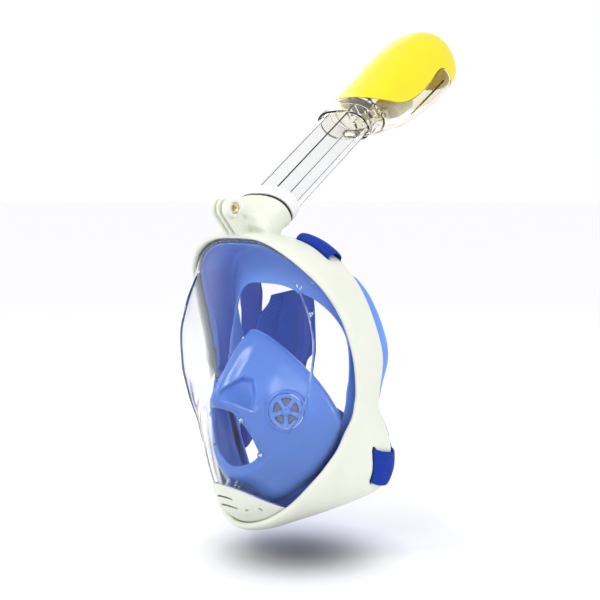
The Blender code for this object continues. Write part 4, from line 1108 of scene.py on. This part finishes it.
def build_dry_top():
    cap = dry_top_shell("float_chamber_cap")
    keep(cap, side_prism("region", cap_outline(0.2), 60))
    moulded(cap, 0.6, 3)
    place(cap, "snorkel", "dry_top_cap", "cap", 50)
    housing = dry_top_shell("float_chamber_housing")
    cut(housing, side_prism("region", cap_outline(-0.2), 60))
    add(housing, mouth_plate())
    for side in (-1, 1):
        add(housing, pin_lug(side))
        cut(housing, vent_slot(side))
    cut(housing, loft("mouth", [oval(s, -0.5, 8.6, 5.2, 64) for s in (SEAT_S - 6, SEAT_S + 6)]))
    centre = snorkel_point(0, PIVOT[1], PIVOT[0])
    cut(housing, disc("pin_hole", centre, (1, 0, 0), 1.56, -20, 20, 40))
    place(housing, "snorkel", "dry_top_housing", "housing", 25)


def mouth_plate():
    """Plate across the housing that carries the valve seat; its edge runs into the housing wall."""
    plate = loft("plate", [oval(SEAT_S - 1.2, -5.5, 24.6, 18.4), oval(SEAT_S + 1.2, -5.8, 24.9, 19)])
    cut(plate, side_prism("region", cap_outline(-0.2), 60))
    for side in (-1, 1):
        corners = rounded([(11.5, -9), (19.5, -7), (19.5, 2), (11.5, 3.5)], 3)
        rows = [[snorkel_point(side * x, n, s) for x, n in corners] for s in (SEAT_S - 6, SEAT_S + 6)]
        cut(plate, loft("exhaust", rows))
    return plate


def pin_lug(side):
    outline = [(SEAT_S, -20), (SEAT_S, -9.5), (PIVOT[0] - 2, -10.5)]
    for a in np.linspace(100, -100, 21):
        angle = math.radians(a)
        outline.append((PIVOT[0] + 3.5 * math.cos(angle), PIVOT[1] + 3.5 * math.sin(angle)))
    outline.append((PIVOT[0] - 2, -18))
    low, high = sorted((side * 8.4, side * 11))
    return loft("lug", [[snorkel_point(x, n, s) for s, n in outline] for x in (low, high)])


def vent_slot(side):
    outline = [(165, -25.9), (213, -25.9), (214, -25), (213, -24.1), (165, -24.1), (164, -25)]
    low, high = sorted((side * 10, side * 40))
    return loft("vent", [[snorkel_point(x, n, s) for s, n in outline] for x in (low, high)])


def turned(obj, degrees):
    """Turns an object about the float lever's pin, towards the closed seat when positive."""
    centre = Vector(snorkel_point(0, PIVOT[1], PIVOT[0]))
    turn = Matrix.Rotation(math.radians(degrees), 4, "X")
    obj.data.transform(Matrix.Translation(centre) @ turn @ Matrix.Translation(-centre))
    return obj


def build_float():
    """Lever drawn with its disc on the seat, then opened; the float block is drawn open."""
    centre = snorkel_point(0, PIVOT[1], PIVOT[0])
    lever = disc("valve_lever", centre, (1, 0, 0), 3.6, -7.6, 7.6)
    arm = [(SEAT_S + 4.2, -5.5), (SEAT_S + 4.2, 3.5), (SEAT_S + 5.8, 3.5), (SEAT_S + 6.6, -4.5),
           (PIVOT[0] + 2, -11.4), (PIVOT[0] - 2.4, -15.6)]
    add(lever, loft("arm", [[snorkel_point(x, n, s) for s, n in arm] for x in (-6, 6)]))
    turned(lever, -FLOAT_OPEN)
    tail = [(PIVOT[0] + 1, -11.6), (PIVOT[0] - 1, -16.6), (158, -26), (160.6, -17)]
    add(lever, loft("tail", [[snorkel_point(x, n, s) for s, n in tail] for x in (-5, 5)]))
    cut(lever, disc("pin_hole", centre, (1, 0, 0), 1.56, -20, 20, 40))
    moulded(lever, 0.3, 2)
    place(lever, "float", "float_lever", "float", 50)
    rows = [(1.6, -0.5), (1.8, -0.1), (2.4, 0), (3.4, 0), (3.7, -0.2), (3.9, -0.6)]
    seal = loft("valve_pad", [oval(SEAT_S + s, -0.5, 12 + d, 8 + d, 96) for s, d in rows])
    place(turned(seal, -FLOAT_OPEN), "float", "float_seal", "float_seal", 60)
    rows = [(161, -20, 11.5, 7.2), (161.6, -20, 12.6, 8.2), (163, -20, 13.5, 8.8), (172, -21, 13.8, 9.2),
            (181, -22, 14, 9.6), (183.2, -22, 13.3, 9), (184, -22, 12, 8)]
    block = loft("float_body", [oval(*row, 96, 3.2) for row in rows])
    place(block, "float", "float_block", "foam", 40)
    profile = [(1.2, -12), (1.5, -11.7), (1.5, 11.7), (1.2, 12)]
    pin = turning("lever_pin", centre, (1, 0, 0), profile, 48)
    place(pin, "snorkel", "float_pin", "steel", 40)


# ---------------------------------------------------------------- stage


FLOOR_LEVEL = -0.127
FLOOR_HALF = 40.0
PAINTED_SHADOW_AT = (0.027, -0.039)  # X and Y of the middle of the soft shadow painted into the floor under the mask
PAINTED_SHADOW_R = 0.091


def build_stage():
    """Pale floor, with a soft round shadow painted into its colour under the mask, which deepens the shadow
    of the studio lamps.
    """
    corners = [(x, y, FLOOR_LEVEL) for x, y in ((-1, -1), (1, -1), (1, 1), (-1, 1))]
    floor = bpy.data.objects.new("floor", bpy.data.meshes.new("floor"))
    floor.data.from_pydata([(x * FLOOR_HALF, y * FLOOR_HALF, z) for x, y, z in corners], [], [(0, 1, 2, 3)])
    bpy.context.scene.collection.objects.link(floor)
    paint = Paint("floor_paper_painted_shadow", (0.97, 0.97, 0.97), 0.9)
    mapping = paint.node("ShaderNodeMapping")
    mapping.inputs["Scale"].default_value = (1 / PAINTED_SHADOW_R, 1 / PAINTED_SHADOW_R, 0)
    mapping.inputs["Location"].default_value = (-PAINTED_SHADOW_AT[0] / PAINTED_SHADOW_R, -PAINTED_SHADOW_AT[1] / PAINTED_SHADOW_R, 0)
    paint.link(paint.place, mapping.inputs["Vector"])
    distance = paint.node("ShaderNodeVectorMath", operation="LENGTH")
    paint.link(mapping.outputs["Vector"], distance.inputs[0])
    # Painted shadow: the floor's grey darkens from the oval's edge to its middle under the mask.
    painted_shadow_greys = [(0, 0.17), (0.18, 0.22), (0.36, 0.34), (0.54, 0.56), (0.75, 0.82), (1, 0.97)]
    paint.colour(paint.ramp(distance.outputs["Value"], [(r, (grey, grey, grey * 1.02)) for r, grey in painted_shadow_greys]))
    paint.roughness(paint.spread(paint.noise(3, 2), 0.86, 0.94))
    floor.data.materials.append(paint.material)


TARGET = Vector((0, -0.0115, 0.068))
SIGHT = Vector((0.7044, -0.7044, 0.0872))


def lamp(name, position, aim, size, power, colour=(1, 1, 1)):
    data = bpy.data.lights.new(name, "AREA")
    data.shape = "RECTANGLE"
    data.size, data.size_y = size
    data.energy = power
    data.color = colour
    obj = bpy.data.objects.new(name, data)
    obj.location = position
    obj.rotation_euler = (Vector(aim) - Vector(position)).to_track_quat("-Z", "Y").to_euler()
    bpy.context.scene.collection.objects.link(obj)


def build_lights():
    world = bpy.data.worlds.new("studio")
    world.use_nodes = True
    world.node_tree.nodes["Background"].inputs["Color"].default_value = (1, 1, 1, 1)
    world.node_tree.nodes["Background"].inputs["Strength"].default_value = 1.0
    bpy.context.scene.world = world
    lamp("key", (-0.3, -1.1, 1.1), TARGET, (0.3, 0.3), 3.2)
    lamp("strip", (0.5, -1.3, 0.9), TARGET, (0.1, 0.6), 1.6)
    lamp("fill", (1.03, -0.35, 0.78), TARGET, (0.1, 0.34), 1.8)
    lamp("rim", (-0.9, 0.7, 0.9), TARGET, (0.4, 0.4), 1.6)
    bpy.context.scene.view_settings.view_transform = "Standard"


def build_camera():
    data = bpy.data.cameras.new("camera")
    data.lens = 71.25
    data.sensor_width = 36
    camera = bpy.data.objects.new("camera", data)
    camera.location = TARGET + SIGHT * 0.95
    camera.rotation_euler = (-SIGHT).to_track_quat("-Z", "Y").to_euler()
    bpy.context.scene.collection.objects.link(camera)
    bpy.context.scene.camera = camera


build_camera()
build_frame()
build_lens()
build_chin_cover()
build_face_seal()
build_pocket()
build_studs()
build_pocket_valves()
build_drain()
build_nut()
for arm_name, arm_shape in STRAP_PATHS.items():
    build_strap_arm(arm_name, *arm_shape)
build_pad()
build_tube()
build_collar()
build_dry_top()
build_float()
build_stage()
build_lights()
